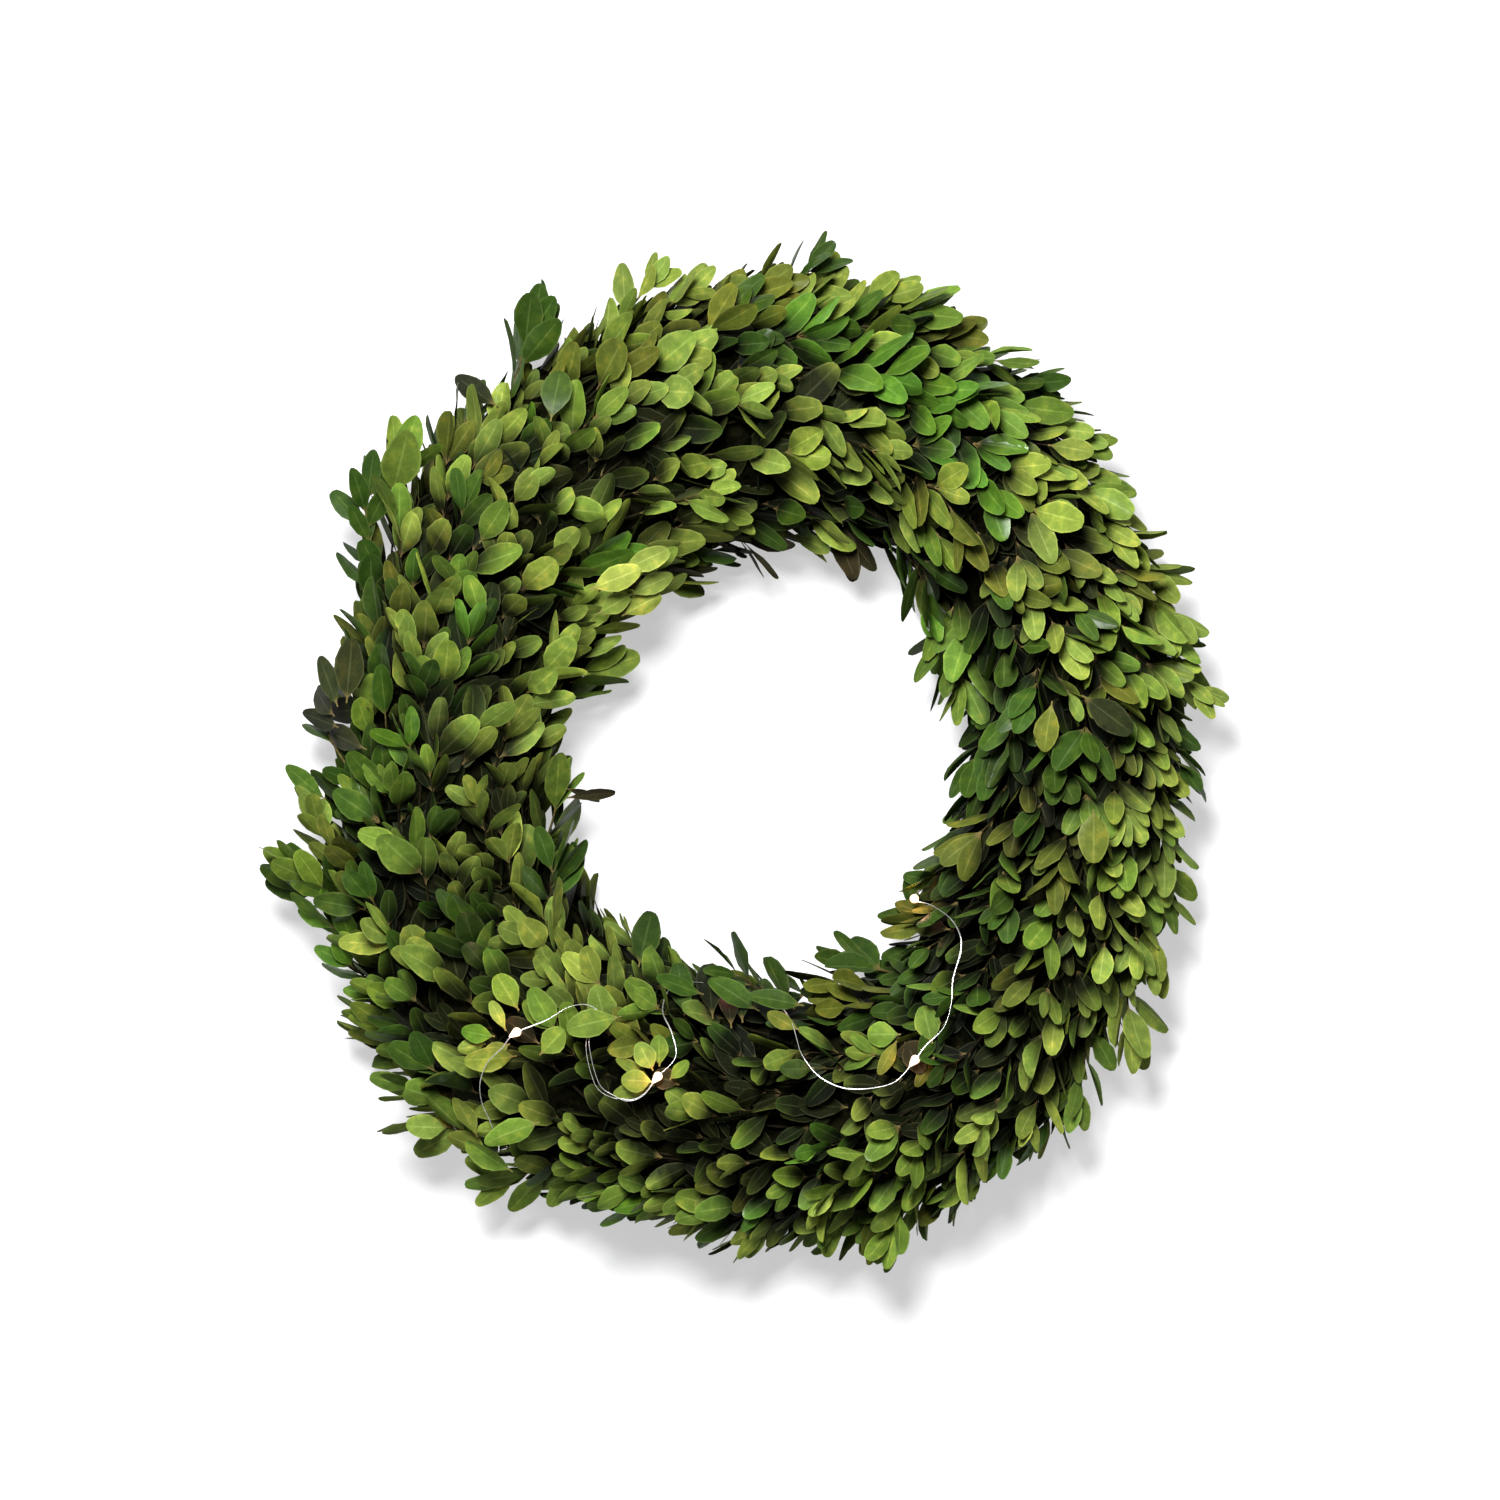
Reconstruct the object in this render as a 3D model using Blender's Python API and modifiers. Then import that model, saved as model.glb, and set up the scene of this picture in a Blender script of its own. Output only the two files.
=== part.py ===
"""Preserved boxwood leaf wreath with a short string of fairy lights in its lower part.

The wreath lies on its back: z = 0 is the plane that its back rests on, +Z is its front and +Y its top as
it hangs. Clock angles are in degrees and run clockwise from the top, which is the way the leaves point.
Round the section of the wreath, an angle of 0 points away from the wreath's hole, 90 to the front and
180 into the hole.
"""
import math
import random

import bmesh
import bpy
from mathutils import Matrix, Vector
from mathutils.bvhtree import BVHTree

MM = 0.001
SEED = 20

# Foliage outline, one radius for each hour of the clock from 12, and how far the foliage stands proud of
# the stems that it grows from
OUTER_RADII = [radius * MM for radius in (270, 266, 250, 250, 257, 273, 273, 271, 260, 240, 246, 262)]
INNER_RADII = [radius * MM for radius in (104, 121, 110, 106, 110, 124, 115, 101, 98, 94, 78, 91)]
LEAF_LAYER = 18 * MM

# Stem core of a bunch: a round section cut off flat at the back, with a groove for the binding wire at
# its start and a channel in its back for the frame
BUNCHES = 18
BUNCH_ANGLE = 360 / BUNCHES
BUNCH_GAP_ANGLE = 0.2
CORE_AXIS_HEIGHT = 34 * MM
CORE_RISE = 56 * MM
CORE_CORNERS = 7
GROOVE_ANGLE = 3.0
GROOVE_SLOPE_ANGLE = 2.0
GROOVE_DEPTH = 6 * MM
GROOVE_BACK_HEIGHT = 7.3 * MM
CHANNEL_HALF_WIDTH = 20 * MM
CHANNEL_DEPTH = 14 * MM

# Welded wire frame: two round rails side by side, joined by straight braces
FRAME_CENTRE = (7 * MM, -4 * MM)
FRAME_RADIUS = 182 * MM
RAIL_OFFSET = 15 * MM
RAIL_WIRE = 3.2 * MM
RAIL_HEIGHT = 9 * MM
RAIL_SEGMENTS = 36
BRACE_WIRE = 2.6 * MM
BRACES = 9
FIRST_BRACE_CLOCK = 10

# Binding wire, which goes round each groove and on along the channel to the next one
BINDING_WIRE = 1.2 * MM
BINDING_CLEARANCE = 0.5 * MM
BINDING_TURN_ANGLES = (0.9, 2.1)
BINDING_RUN_OFFSET = -18.4 * MM
BINDING_RUN_STEPS = 2

# Leaves, larger than life, in lanes round the section. A lane has its angle, the number of its leaves in
# an even bunch and the number in an odd one.
LEAF_LENGTH = 50 * MM
LEAF_WIDTH = 26 * MM
LEAF_THICKNESS = 2.2 * MM
LEAF_FOLD = 1.2 * MM
LEAF_CURL = 0.05
LEAF_SIDES = 8
LEAF_THICKEST = 0.4
LEAF_FULLNESS = 0.75
LEAF_ROOT_WIDTH = 0.82
LEAF_TIP_WIDTH = 1.12
LEAF_LEAN = 36
LEAF_SPLAY = 16
FACE_FRONT = 0.6
ROOT_DEPTH = 9 * MM
LEAF_CLEARANCE = 0.5 * MM
LANES = (
    (-14, 3, 2), (9, 2, 3), (31, 3, 2), (54, 2, 3), (77, 2, 2),
    (99, 2, 2), (122, 2, 2), (145, 2, 1), (167, 1, 2), (190, 2, 1),
)
LANE_START_ANGLE = 5.6
LANE_END_ANGLE = 19.6
LANE_STAGGERS = (0.75, 0.25)
DRAWS_PER_LEAF = 30
LOWEST_LEAF = 0.8 * MM

# How far a leaf's place and pose may be off: degrees along the clock, round the section, of lean, of
# splay and of roll. The first draw takes half of it, and the last one and a half times as much.
CLOCK_DRAW = 1.6
ANGLE_DRAW = 7
LEAN_DRAW = 9
SPLAY_DRAW = 18
ROLL_DRAW = 18
SIZE_DRAW = (0.88, 1.08)
SIZE_LOSS = 0.15

# Sprigs that stand out of the outline: clock angle, angle round the section, lean, splay and length.
# Each has a leaf at its tip and a shorter one beside it, turned and tilted from it in degrees.
SPRIG_LEAVES = ((0, 0, 1.0), (1.6, -16, 0.86))
SPRIG_LEAF_WIDTH = 22 * MM
STRAY_SPRIGS = (
    (329, 40, 60, 10, 56 * MM), (346, 30, 52, 20, 56 * MM), (3, 35, 54, 22, 62 * MM),
    (12, 30, 44, 20, 56 * MM), (22, 25, 40, 20, 54 * MM), (44, 30, 42, 15, 54 * MM),
    (66, 22, 46, 20, 58 * MM), (86, 28, 46, 14, 60 * MM), (107, 20, 42, 12, 54 * MM),
    (131, 22, 42, 16, 54 * MM), (159, 28, 48, 24, 62 * MM), (178, 20, 40, 18, 54 * MM),
    (208, 25, 44, 18, 56 * MM),
    (220, 30, 46, 18, 56 * MM), (254, 25, 52, 30, 62 * MM), (261, 20, 46, 30, 58 * MM),
    (272, 35, 52, 16, 56 * MM), (316, 35, 48, 18, 56 * MM), (300, 160, 46, -12, 54 * MM),
    (249, 165, 44, -16, 52 * MM), (205, 160, 44, -10, 52 * MM), (156, 165, 46, -14, 52 * MM),
    (63, 165, 42, -14, 50 * MM),
)

# Fairy lights: one wire that comes out of the battery box, round the back of the groove before a bunch,
# over the foliage, and back into the frame's channel through the groove at its other end
LIGHT_WIRE = 1.0 * MM
LIGHT_STEP = 10 * MM
LIGHT_BACK_HEIGHT = 3.4 * MM
LIGHT_CORNER_ROOM = 2.6 * MM
LIGHT_GROOVE_LAYER = -2.8 * MM
LIGHT_START_CLOCK = 221.5
LIGHT_END_CLOCK = 121.5
LIGHT_TOP_LAYER = 15
LIGHT_IN_SIGHT = 0.5
LED_LENGTH = 5.4 * MM
LED_RADIUS = 2.1 * MM
LED_HOLE = 1.0 * MM
LED_STRAIGHT = 3.4 * MM
LED_GUARD_SIDES = 8
HIDDEN = "hidden"
SHOWN = "shown"
LED = "led"

# Battery box for two coin cells, closed by a lid at its back
BOX_CLOCK = 231
BOX_LENGTH = 36 * MM
BOX_WIDTH = 22.6 * MM
BOX_TOP = 13.5 * MM
BOX_FLOOR = 2.8 * MM
BOX_WALL = 1.1 * MM
LID_THICKNESS = 1.2 * MM
LID_LENGTH = 24 * MM
CELL_RADIUS = 10 * MM
CELL_THICKNESS = 3.2 * MM
CELL_SIDES = 16
CELL_PLACE = -6 * MM
SWITCH_PLACE = 11.5 * MM
SWITCH_SLOT = (9 * MM, 5 * MM, 8 * MM)
SWITCH_LENGTH = 4 * MM
SWITCH_HEIGHT = 5 * MM
SWITCH_SLID = -1 * MM
CUT_THROUGH = 1 * MM
FIT_GAP = 0.3 * MM


def remove_everything():
    for item in list(bpy.data.objects):
        bpy.data.objects.remove(item, do_unlink=True)


def hour_value(hours, clock):
    """Smooth closed curve through one value for each hour."""
    place = clock / 30 % 12
    hour = int(place)
    part = place - hour
    before, start, end, after = (hours[(hour + step) % 12] for step in (-1, 0, 1, 2))
    bend = 2 * before - 5 * start + 4 * end - after + part * (3 * (start - end) + after - before)
    return start + 0.5 * part * (end - before + part * bend)


def ring_point(clock, radius, height):
    turn = math.radians(clock)
    return Vector((radius * math.sin(turn), radius * math.cos(turn), height))


def core_shape(clock):
    """Middle radius of the stem core at a clock angle, and half its width."""
    outer = hour_value(OUTER_RADII, clock)
    inner = hour_value(INNER_RADII, clock)
    return (outer + inner) / 2, (outer - inner) / 2 - LEAF_LAYER


def layer_point(clock, angle, layer=0.0):
    """Point at a height above the stem core's round side."""
    middle, half = core_shape(clock)
    turn = math.radians(angle)
    radius = middle + (half + layer) * math.cos(turn)
    return ring_point(clock, radius, CORE_AXIS_HEIGHT + (CORE_RISE + layer) * math.sin(turn))


def front_point(x, y, layer):
    """Point of the front at x and y millimetres, at a height above the stem core."""
    clock = math.degrees(math.atan2(x, y)) % 360
    middle, half = core_shape(clock)
    cosine = (math.hypot(x, y) * MM - middle) / (half + layer)
    angle = math.degrees(math.acos(max(-1, min(1, cosine))))
    point = layer_point(clock, angle, layer)
    return Vector((x * MM, y * MM, point.z))


def frame_distance(clock):
    """Radius of the frame's middle line at a clock angle, since the frame's centre is set off."""
    turn = math.radians(clock)
    along = FRAME_CENTRE[0] * math.sin(turn) + FRAME_CENTRE[1] * math.cos(turn)
    offset = FRAME_CENTRE[0] ** 2 + FRAME_CENTRE[1] ** 2
    return along + math.sqrt(along ** 2 - offset + FRAME_RADIUS ** 2)


def link_object(name, mesh, material, collection):
    item = bpy.data.objects.new(name, mesh)
    collection.objects.link(item)
    if material:
        mesh.materials.clear()
        mesh.materials.append(material)
    return item


def finished_mesh(bm, name):
    """Turn the faces outwards and make a mesh of them."""
    bmesh.ops.recalc_face_normals(bm, faces=bm.faces)
    mesh = bpy.data.meshes.new(name)
    bm.to_mesh(mesh)
    bm.free()
    return mesh


def make_material(name, colour, roughness, metallic=0.0):
    material = bpy.data.materials.new(name)
    material.use_nodes = True
    shader = material.node_tree.nodes["Principled BSDF"]
    shader.inputs["Base Color"].default_value = (*colour, 1)
    shader.inputs["Roughness"].default_value = roughness
    shader.inputs["Metallic"].default_value = metallic
    material.diffuse_color = (*colour, 1)
    return material


def make_materials():
    return {
        "leaf": make_material("boxwood_leaf", (0.11, 0.19, 0.035), 0.55),
        "frame": make_material("green_lacquered_steel", (0.02, 0.05, 0.03), 0.45, 0.6),
        "binding": make_material("green_binding_wire", (0.03, 0.08, 0.04), 0.5, 0.5),
        "light": make_material("silvered_copper_wire", (0.8, 0.8, 0.78), 0.25, 1.0),
        "led": make_material("clear_led_epoxy", (1.0, 0.9, 0.65), 0.15),
        "box": make_material("grey_box_plastic", (0.25, 0.26, 0.25), 0.5),
        "cell": make_material("coin_cell_steel", (0.7, 0.7, 0.7), 0.3, 1.0),
        "switch": make_material("black_switch_plastic", (0.02, 0.02, 0.02), 0.4),
    }


def round_corners(shrink, back):
    """Angles of the core section's corners from the outer back corner over the front to the inner one."""
    dip = math.degrees(math.asin((CORE_AXIS_HEIGHT - back) / (CORE_RISE - shrink)))
    step = (180 + 2 * dip) / (CORE_CORNERS - 1)
    return [-dip + step * corner for corner in range(CORE_CORNERS)]


def core_section(clock, shrink, back):
    """Outline of a bunch's stem core at a clock angle, with the frame's channel in its back."""
    outline = [layer_point(clock, angle, -shrink) for angle in round_corners(shrink, back)]
    middle = frame_distance(clock)
    for side, height in ((-1, back), (-1, CHANNEL_DEPTH), (1, CHANNEL_DEPTH), (1, back)):
        outline.append(ring_point(clock, middle + side * CHANNEL_HALF_WIDTH, height))
    return outline


def core_mesh(start):
    """Stem core of one bunch, lofted through its groove and its full part."""
    first = start + BUNCH_GAP_ANGLE / 2
    last = start + BUNCH_ANGLE - BUNCH_GAP_ANGLE / 2
    full = start + GROOVE_ANGLE + GROOVE_SLOPE_ANGLE
    sections = (
        core_section(first, GROOVE_DEPTH, GROOVE_BACK_HEIGHT),
        core_section(start + GROOVE_ANGLE, GROOVE_DEPTH, GROOVE_BACK_HEIGHT),
        core_section(full, 0, 0),
        core_section(last, 0, 0),
    )
    bm = bmesh.new()
    rings = [[bm.verts.new(point) for point in section] for section in sections]
    corners = len(rings[0])
    for ring, following in zip(rings, rings[1:]):
        for corner in range(corners):
            beside = (corner + 1) % corners
            bm.faces.new((ring[corner], ring[beside], following[beside], following[corner]))
    bm.faces.new(rings[0])
    bm.faces.new(rings[-1])
    bmesh.ops.triangulate(bm, faces=bm.faces)
    return finished_mesh(bm, "stem_core")


def leaf_shape(length, width, extra=0.0):
    """A leaf from a flattened spindle: its rim is the leaf's edge, its two poles the fat of its midrib.

    The root is at the origin, the leaf runs along +X and its upper side is +Z.
    """
    bm = bmesh.new()
    bmesh.ops.create_uvsphere(bm, u_segments=LEAF_SIDES, v_segments=2, radius=1)
    for vert in bm.verts:
        x, y, z = vert.co
        if abs(z) > 0.5:
            along = LEAF_THICKEST
            across = 0
            up = math.copysign(LEAF_THICKNESS / 2 + extra, z) - LEAF_FOLD
        else:
            along = max(0, (1 + x) / 2) ** LEAF_FULLNESS
            spread = LEAF_ROOT_WIDTH + (LEAF_TIP_WIDTH - LEAF_ROOT_WIDTH) * (1 + x) / 2
            across = y * spread * (width / 2 + extra)
            up = 0
        vert.co = (along * (length + extra), across, up - LEAF_CURL * length * along ** 2)
    return bm


def surface_frame(clock, angle, core):
    """Place on a stem core: point, normal, the way the leaves point, and the way across."""
    near = layer_point(clock, angle)
    beside = layer_point(clock, angle + 1) - layer_point(clock, angle - 1)
    turn = math.radians(clock)
    flow = Vector((math.cos(turn), -math.sin(turn), 0))
    normal = flow.cross(beside).normalized()
    if normal.dot(layer_point(clock, angle, LEAF_LAYER) - near) < 0:
        normal.negate()
    point = core.ray_cast(near + normal * LEAF_LAYER, -normal)[0]
    outward = ring_point(clock, 1, 0)
    across = outward - normal * outward.dot(normal)
    return point, normal, flow, across


def leaf_place(frame, lean, splay, roll):
    """Matrix that sets a leaf on the core, leaning from the way the leaves point."""
    point, normal, flow, across = frame
    lean = math.radians(lean)
    side = across * math.tan(math.radians(splay))
    ahead = ((flow + side).normalized() * math.cos(lean) + normal * math.sin(lean)).normalized()
    facing = normal + Vector((0, 0, FACE_FRONT))
    up = (facing - ahead * facing.dot(ahead)).normalized()
    up = Matrix.Rotation(math.radians(roll), 3, ahead) @ up
    left = up.cross(ahead)
    root = point - ahead * ROOT_DEPTH
    place = Matrix((ahead, left, up)).transposed().to_4x4()
    place.translation = root
    return place


def tree_of(bm):
    return BVHTree.FromBMesh(bm)


class LeafField:
    """Leaves that have been placed, with what every new leaf keeps clear of."""

    def __init__(self, obstacles):
        self.obstacles = obstacles
        self.placed = []

    def try_leaf(self, bunch, place, length, width):
        """Make a leaf mesh if its place is clear of all else, and remember it."""
        test = leaf_shape(length, width, LEAF_CLEARANCE)
        bmesh.ops.transform(test, matrix=place, verts=test.verts)
        middle = place @ Vector((length / 2, 0, 0))
        lowest = min(vert.co.z for vert in test.verts)
        tree = tree_of(test)
        test.free()
        if lowest < LOWEST_LEAF:
            return None
        for owner, obstacle in self.obstacles:
            if owner != bunch and tree.overlap(obstacle):
                return None
        for centre, other in self.placed:
            if (centre - middle).length < 2 * LEAF_LENGTH and tree.overlap(other):
                return None
        leaf = leaf_shape(length, width)
        bmesh.ops.transform(leaf, matrix=place, verts=leaf.verts)
        self.placed.append((middle, tree_of(leaf)))
        return finished_mesh(leaf, "leaf")


def within_lane(angle):
    """An angle along a bunch, kept on the part of its core that leaves grow from."""
    return min(LANE_END_ANGLE, max(LANE_START_ANGLE, angle))


def grow_stray_sprigs(field, cores, leaves):
    """The leaves that stand out of the outline, two to a sprig."""
    for clock, angle, lean, splay, length in STRAY_SPRIGS:
        for turn, tilt, part in SPRIG_LEAVES:
            bunch = int((clock + turn) % 360 // BUNCH_ANGLE)
            site = within_lane((clock + turn) % 360 - bunch * BUNCH_ANGLE)
            frame = surface_frame(bunch * BUNCH_ANGLE + site, angle + tilt, cores[bunch])
            for draw in range(DRAWS_PER_LEAF):
                place = leaf_place(frame, lean - draw, splay + tilt + draw, tilt)
                mesh = field.try_leaf(bunch, place, length * part, SPRIG_LEAF_WIDTH)
                if mesh:
                    leaves[bunch].append(mesh)
                    break


def grow_leaves(field, cores, leaves):
    """The regular leaves, in lanes round the section and staggered from lane to lane."""
    rng = random.Random(SEED)
    for bunch in range(BUNCHES):
        for lane, (angle, *counts) in enumerate(LANES):
            count = counts[bunch % 2]
            for number in range(count):
                part = (number + LANE_STAGGERS[(lane + bunch) % 2]) / count
                clock = LANE_START_ANGLE + (LANE_END_ANGLE - LANE_START_ANGLE) * part
                grow_one_leaf(field, cores, leaves, bunch, clock, angle, rng)


def grow_one_leaf(field, cores, leaves, bunch, clock, angle, rng):
    """Draw places about one site until a leaf stands clear there."""
    for draw in range(DRAWS_PER_LEAF):
        loose = 0.5 + draw / DRAWS_PER_LEAF
        site = within_lane(clock + rng.uniform(-CLOCK_DRAW, CLOCK_DRAW) * loose)
        bend = angle + rng.uniform(-ANGLE_DRAW, ANGLE_DRAW) * loose
        frame = surface_frame(bunch * BUNCH_ANGLE + site, bend, cores[bunch])
        lean = LEAF_LEAN + rng.uniform(-LEAN_DRAW, LEAN_DRAW) * loose
        splay = LEAF_SPLAY * math.cos(math.radians(bend)) + rng.uniform(-SPLAY_DRAW, SPLAY_DRAW) * loose
        size = rng.uniform(*SIZE_DRAW) * (1 - SIZE_LOSS * draw / DRAWS_PER_LEAF)
        place = leaf_place(frame, lean, splay, rng.uniform(-ROLL_DRAW, ROLL_DRAW) * loose)
        mesh = field.try_leaf(bunch, place, LEAF_LENGTH * size, LEAF_WIDTH * size)
        if mesh:
            leaves[bunch].append(mesh)
            return


def fuse_bunch(name, core, leaves, material, collection, scratch):
    """One solid of a stem core and its leaves."""
    bunch = link_object(name, core, material, collection)
    blades = bpy.data.collections.new(name + "_leaves")
    scratch.children.link(blades)
    for mesh in leaves:
        link_object("leaf", mesh, material, blades)
    union = bunch.modifiers.new("leaves", "BOOLEAN")
    union.operation = "UNION"
    union.operand_type = "COLLECTION"
    union.collection = blades
    union.solver = "MANIFOLD"
    bpy.context.view_layer.update()
    shape = bunch.evaluated_get(bpy.context.evaluated_depsgraph_get())
    fused = bpy.data.meshes.new_from_object(shape)
    bunch.modifiers.clear()
    bunch.data = fused
    fused.materials.clear()
    fused.materials.append(material)
    for blade in list(blades.objects):
        bpy.data.objects.remove(blade, do_unlink=True)
    bpy.data.collections.remove(blades)
    return bunch


def tube_mesh(name, points, diameter, closed, resolution, collection):
    """A wire as a mesh, from a curve with a round bevel and its caps welded."""
    curve = bpy.data.curves.new(name, "CURVE")
    curve.dimensions = "3D"
    curve.bevel_depth = diameter / 2
    curve.bevel_resolution = resolution
    curve.use_fill_caps = True
    spline = curve.splines.new("POLY")
    spline.points.add(len(points) - 1)
    for place, point in zip(spline.points, points):
        place.co = (*point, 1)
    spline.use_cyclic_u = closed
    guide = bpy.data.objects.new(name, curve)
    collection.objects.link(guide)
    bpy.context.view_layer.update()
    mesh = bpy.data.meshes.new_from_object(guide.evaluated_get(bpy.context.evaluated_depsgraph_get()))
    bpy.data.objects.remove(guide, do_unlink=True)
    bm = bmesh.new()
    bm.from_mesh(mesh)
    bmesh.ops.remove_doubles(bm, verts=bm.verts, dist=0.01 * MM)
    return finished_mesh(bm, name)


def make_frame(material, collection, scratch):
    """Two rails and their braces, welded into one solid."""
    centre = Vector((*FRAME_CENTRE, RAIL_HEIGHT))
    solids = []
    for side in (-1, 1):
        radius = FRAME_RADIUS + side * RAIL_OFFSET
        turns = [360 * step / RAIL_SEGMENTS for step in range(RAIL_SEGMENTS)]
        rail = [centre + ring_point(turn, radius, 0) for turn in turns]
        solids.append(tube_mesh("rail", rail, RAIL_WIRE, True, 1, collection))
    for brace in range(BRACES):
        clock = FIRST_BRACE_CLOCK + brace * 360 / BRACES
        ends = [centre + ring_point(clock, FRAME_RADIUS + side * RAIL_OFFSET, 0) for side in (-1, 1)]
        solids.append(tube_mesh("brace", ends, BRACE_WIRE, False, 1, collection))
    return fuse_bunch("wire_frame", solids[0], solids[1:], material, collection, scratch)


def binding_route():
    """One line round every groove and along the channel between them."""
    route = []
    lift = GROOVE_DEPTH - BINDING_CLEARANCE - BINDING_WIRE / 2
    height = GROOVE_BACK_HEIGHT - BINDING_CLEARANCE - BINDING_WIRE / 2
    first, last = BINDING_TURN_ANGLES
    for bunch in range(BUNCHES):
        start = bunch * BUNCH_ANGLE
        corners = round_corners(GROOVE_DEPTH, GROOVE_BACK_HEIGHT)
        run = start + first
        route.append(ring_point(run, frame_distance(run) + BINDING_RUN_OFFSET, height))
        for number, angle in enumerate(corners):
            clock = start + first + (last - first) * (number + 1) / (len(corners) + 1)
            point = layer_point(clock, angle, -lift)
            if number in (0, len(corners) - 1):
                point.z = height
            route.append(point)
        run = start + last
        for step in range(BINDING_RUN_STEPS):
            clock = run + (BUNCH_ANGLE + first - last) * step / BINDING_RUN_STEPS
            route.append(ring_point(clock, frame_distance(clock) + BINDING_RUN_OFFSET, height))
    return route[:-1]


def make_binding_wire(material, collection):
    mesh = tube_mesh("binding_wire", binding_route(), BINDING_WIRE, False, 0, collection)
    return link_object("binding_wire", mesh, material, collection)


def groove_corner(clock, side):
    """Place of the light wire round a groove's back corner, on the outer or the inner side."""
    middle, half = core_shape(clock)
    dip = math.radians(round_corners(GROOVE_DEPTH, GROOVE_BACK_HEIGHT)[0])
    reach = (half - GROOVE_DEPTH) * math.cos(dip) + LIGHT_CORNER_ROOM
    return ring_point(clock, middle + side * reach, LIGHT_BACK_HEIGHT)


def box_matrix():
    """Place of the battery box: its X runs clockwise along the ring."""
    place = Matrix.Translation(ring_point(BOX_CLOCK, frame_distance(BOX_CLOCK), 0))
    return place @ Matrix.Rotation(-math.radians(BOX_CLOCK), 4, "Z")


def light_route():
    """The light wire's points with what they are: hidden, shown, or the middle of an LED.

    The points in sight have x and y in millimetres from the middle of the foliage's clock, and their
    height above the stem cores.
    """
    top = LIGHT_TOP_LAYER
    box_end = box_matrix() @ Vector((-BOX_LENGTH / 2 - FIT_GAP, 0, 5 * MM))
    leaving = box_matrix() @ Vector((-BOX_LENGTH / 2 - 6 * MM, 1 * MM, 4.4 * MM))
    channel_side = frame_distance(LIGHT_START_CLOCK) + CHANNEL_HALF_WIDTH
    start = [
        (box_end, HIDDEN),
        (leaving, HIDDEN),
        (ring_point(LIGHT_START_CLOCK, channel_side, LIGHT_BACK_HEIGHT), HIDDEN),
        (groove_corner(LIGHT_START_CLOCK, 1), HIDDEN),
        (layer_point(LIGHT_START_CLOCK, -18, LIGHT_GROOVE_LAYER), HIDDEN),
        (layer_point(LIGHT_START_CLOCK, -5, LIGHT_GROOVE_LAYER), HIDDEN),
        (layer_point(220.5, 12, 4 * MM), LED),
        (layer_point(217, 22, 12 * MM), HIDDEN),
    ]
    seen = [
        (-136, -213, top, SHOWN), (-139, -198, top, SHOWN), (-144, -186, top, SHOWN),
        (-145, -175, top, SHOWN), (-141, -164, top, SHOWN), (-133, -156, top, SHOWN),
        (-126, -148, top, LED), (-109, -141, top, SHOWN), (-97, -134, top, SHOWN),
        (-87, -133, top, SHOWN), (-81, -138, top, SHOWN), (-86, -148, top, SHOWN),
        (-87, -156, top, SHOWN), (-84, -170, top, SHOWN), (-79, -179, top, SHOWN),
        (-66, -184, top, SHOWN), (-57, -181, top, SHOWN), (-50, -172, top, LED),
        (-40, -161, top, SHOWN), (-42, -148, top, SHOWN), (-47, -136, 12, HIDDEN),
        (-42, -124, 6, HIDDEN), (-27, -122, 5, HIDDEN), (-12, -126, 6, LED), (2, -128, 6, HIDDEN),
        (14, -132, 10, HIDDEN), (22, -142, top, SHOWN), (25, -151, top, SHOWN),
        (28, -160, top, SHOWN), (38, -172, top, SHOWN), (54, -178, top, SHOWN),
        (76, -175, top, SHOWN), (88, -163, top, LED), (94, -155, top, SHOWN),
        (104, -145, top, HIDDEN), (108, -132, top, SHOWN), (109, -119, top, HIDDEN),
        (113, -105, top, HIDDEN), (113, -96, top, SHOWN), (108, -87, top, SHOWN),
        (98, -80, 17, SHOWN), (89, -77, 18, LED),
    ]
    channel_side = frame_distance(LIGHT_END_CLOCK) - CHANNEL_HALF_WIDTH
    end = [
        (layer_point(127.5, 172, 15 * MM), HIDDEN),
        (layer_point(124.5, 184, 8 * MM), HIDDEN),
        (layer_point(121.6, 195, LIGHT_GROOVE_LAYER), HIDDEN),
        (layer_point(LIGHT_END_CLOCK, 203, LIGHT_GROOVE_LAYER), HIDDEN),
        (groove_corner(LIGHT_END_CLOCK, -1), HIDDEN),
        (ring_point(LIGHT_END_CLOCK, channel_side, LIGHT_BACK_HEIGHT), HIDDEN),
        (ring_point(124, frame_distance(124), LIGHT_BACK_HEIGHT), HIDDEN),
        (ring_point(129, frame_distance(129), 5 * MM), HIDDEN),
    ]
    middle = [(front_point(x, y, layer * MM), kind) for x, y, layer, kind in seen]
    return start + middle + end


def curve_point(points, index, part):
    """Point of the smooth curve through the route, between one of its points and the next."""
    last = len(points) - 1
    before, start, end, after = (points[max(0, min(last, index + step))] for step in (-1, 0, 1, 2))
    bend = 2 * before - 5 * start + 4 * end - after + part * (3 * (start - end) + after - before)
    return start + 0.5 * part * (end - before + part * bend)


def light_points():
    """Evenly spaced points of the light wire, straight through each LED, and the LEDs' places."""
    route = light_route()
    places = [point for point, kind in route]
    leds = []
    line = [places[0]]
    for index in range(len(places) - 1):
        kind = route[index][1]
        if kind == LED:
            ahead = (places[index + 1] - places[index - 1]).normalized()
            leds.append((places[index], ahead))
            line.append(places[index] - ahead * LED_STRAIGHT)
            line.append(places[index] + ahead * LED_STRAIGHT)
        length = (places[index + 1] - places[index]).length
        steps = max(1, round(length / LIGHT_STEP))
        for step in range(1, steps + 1):
            point = curve_point(places, index, step / steps)
            near_led = any((point - places[at]).length < 1.5 * LED_STRAIGHT
                           for at in (index, index + 1) if route[at][1] == LED)
            if not near_led:
                line.append(point)
    return line, leds


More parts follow.
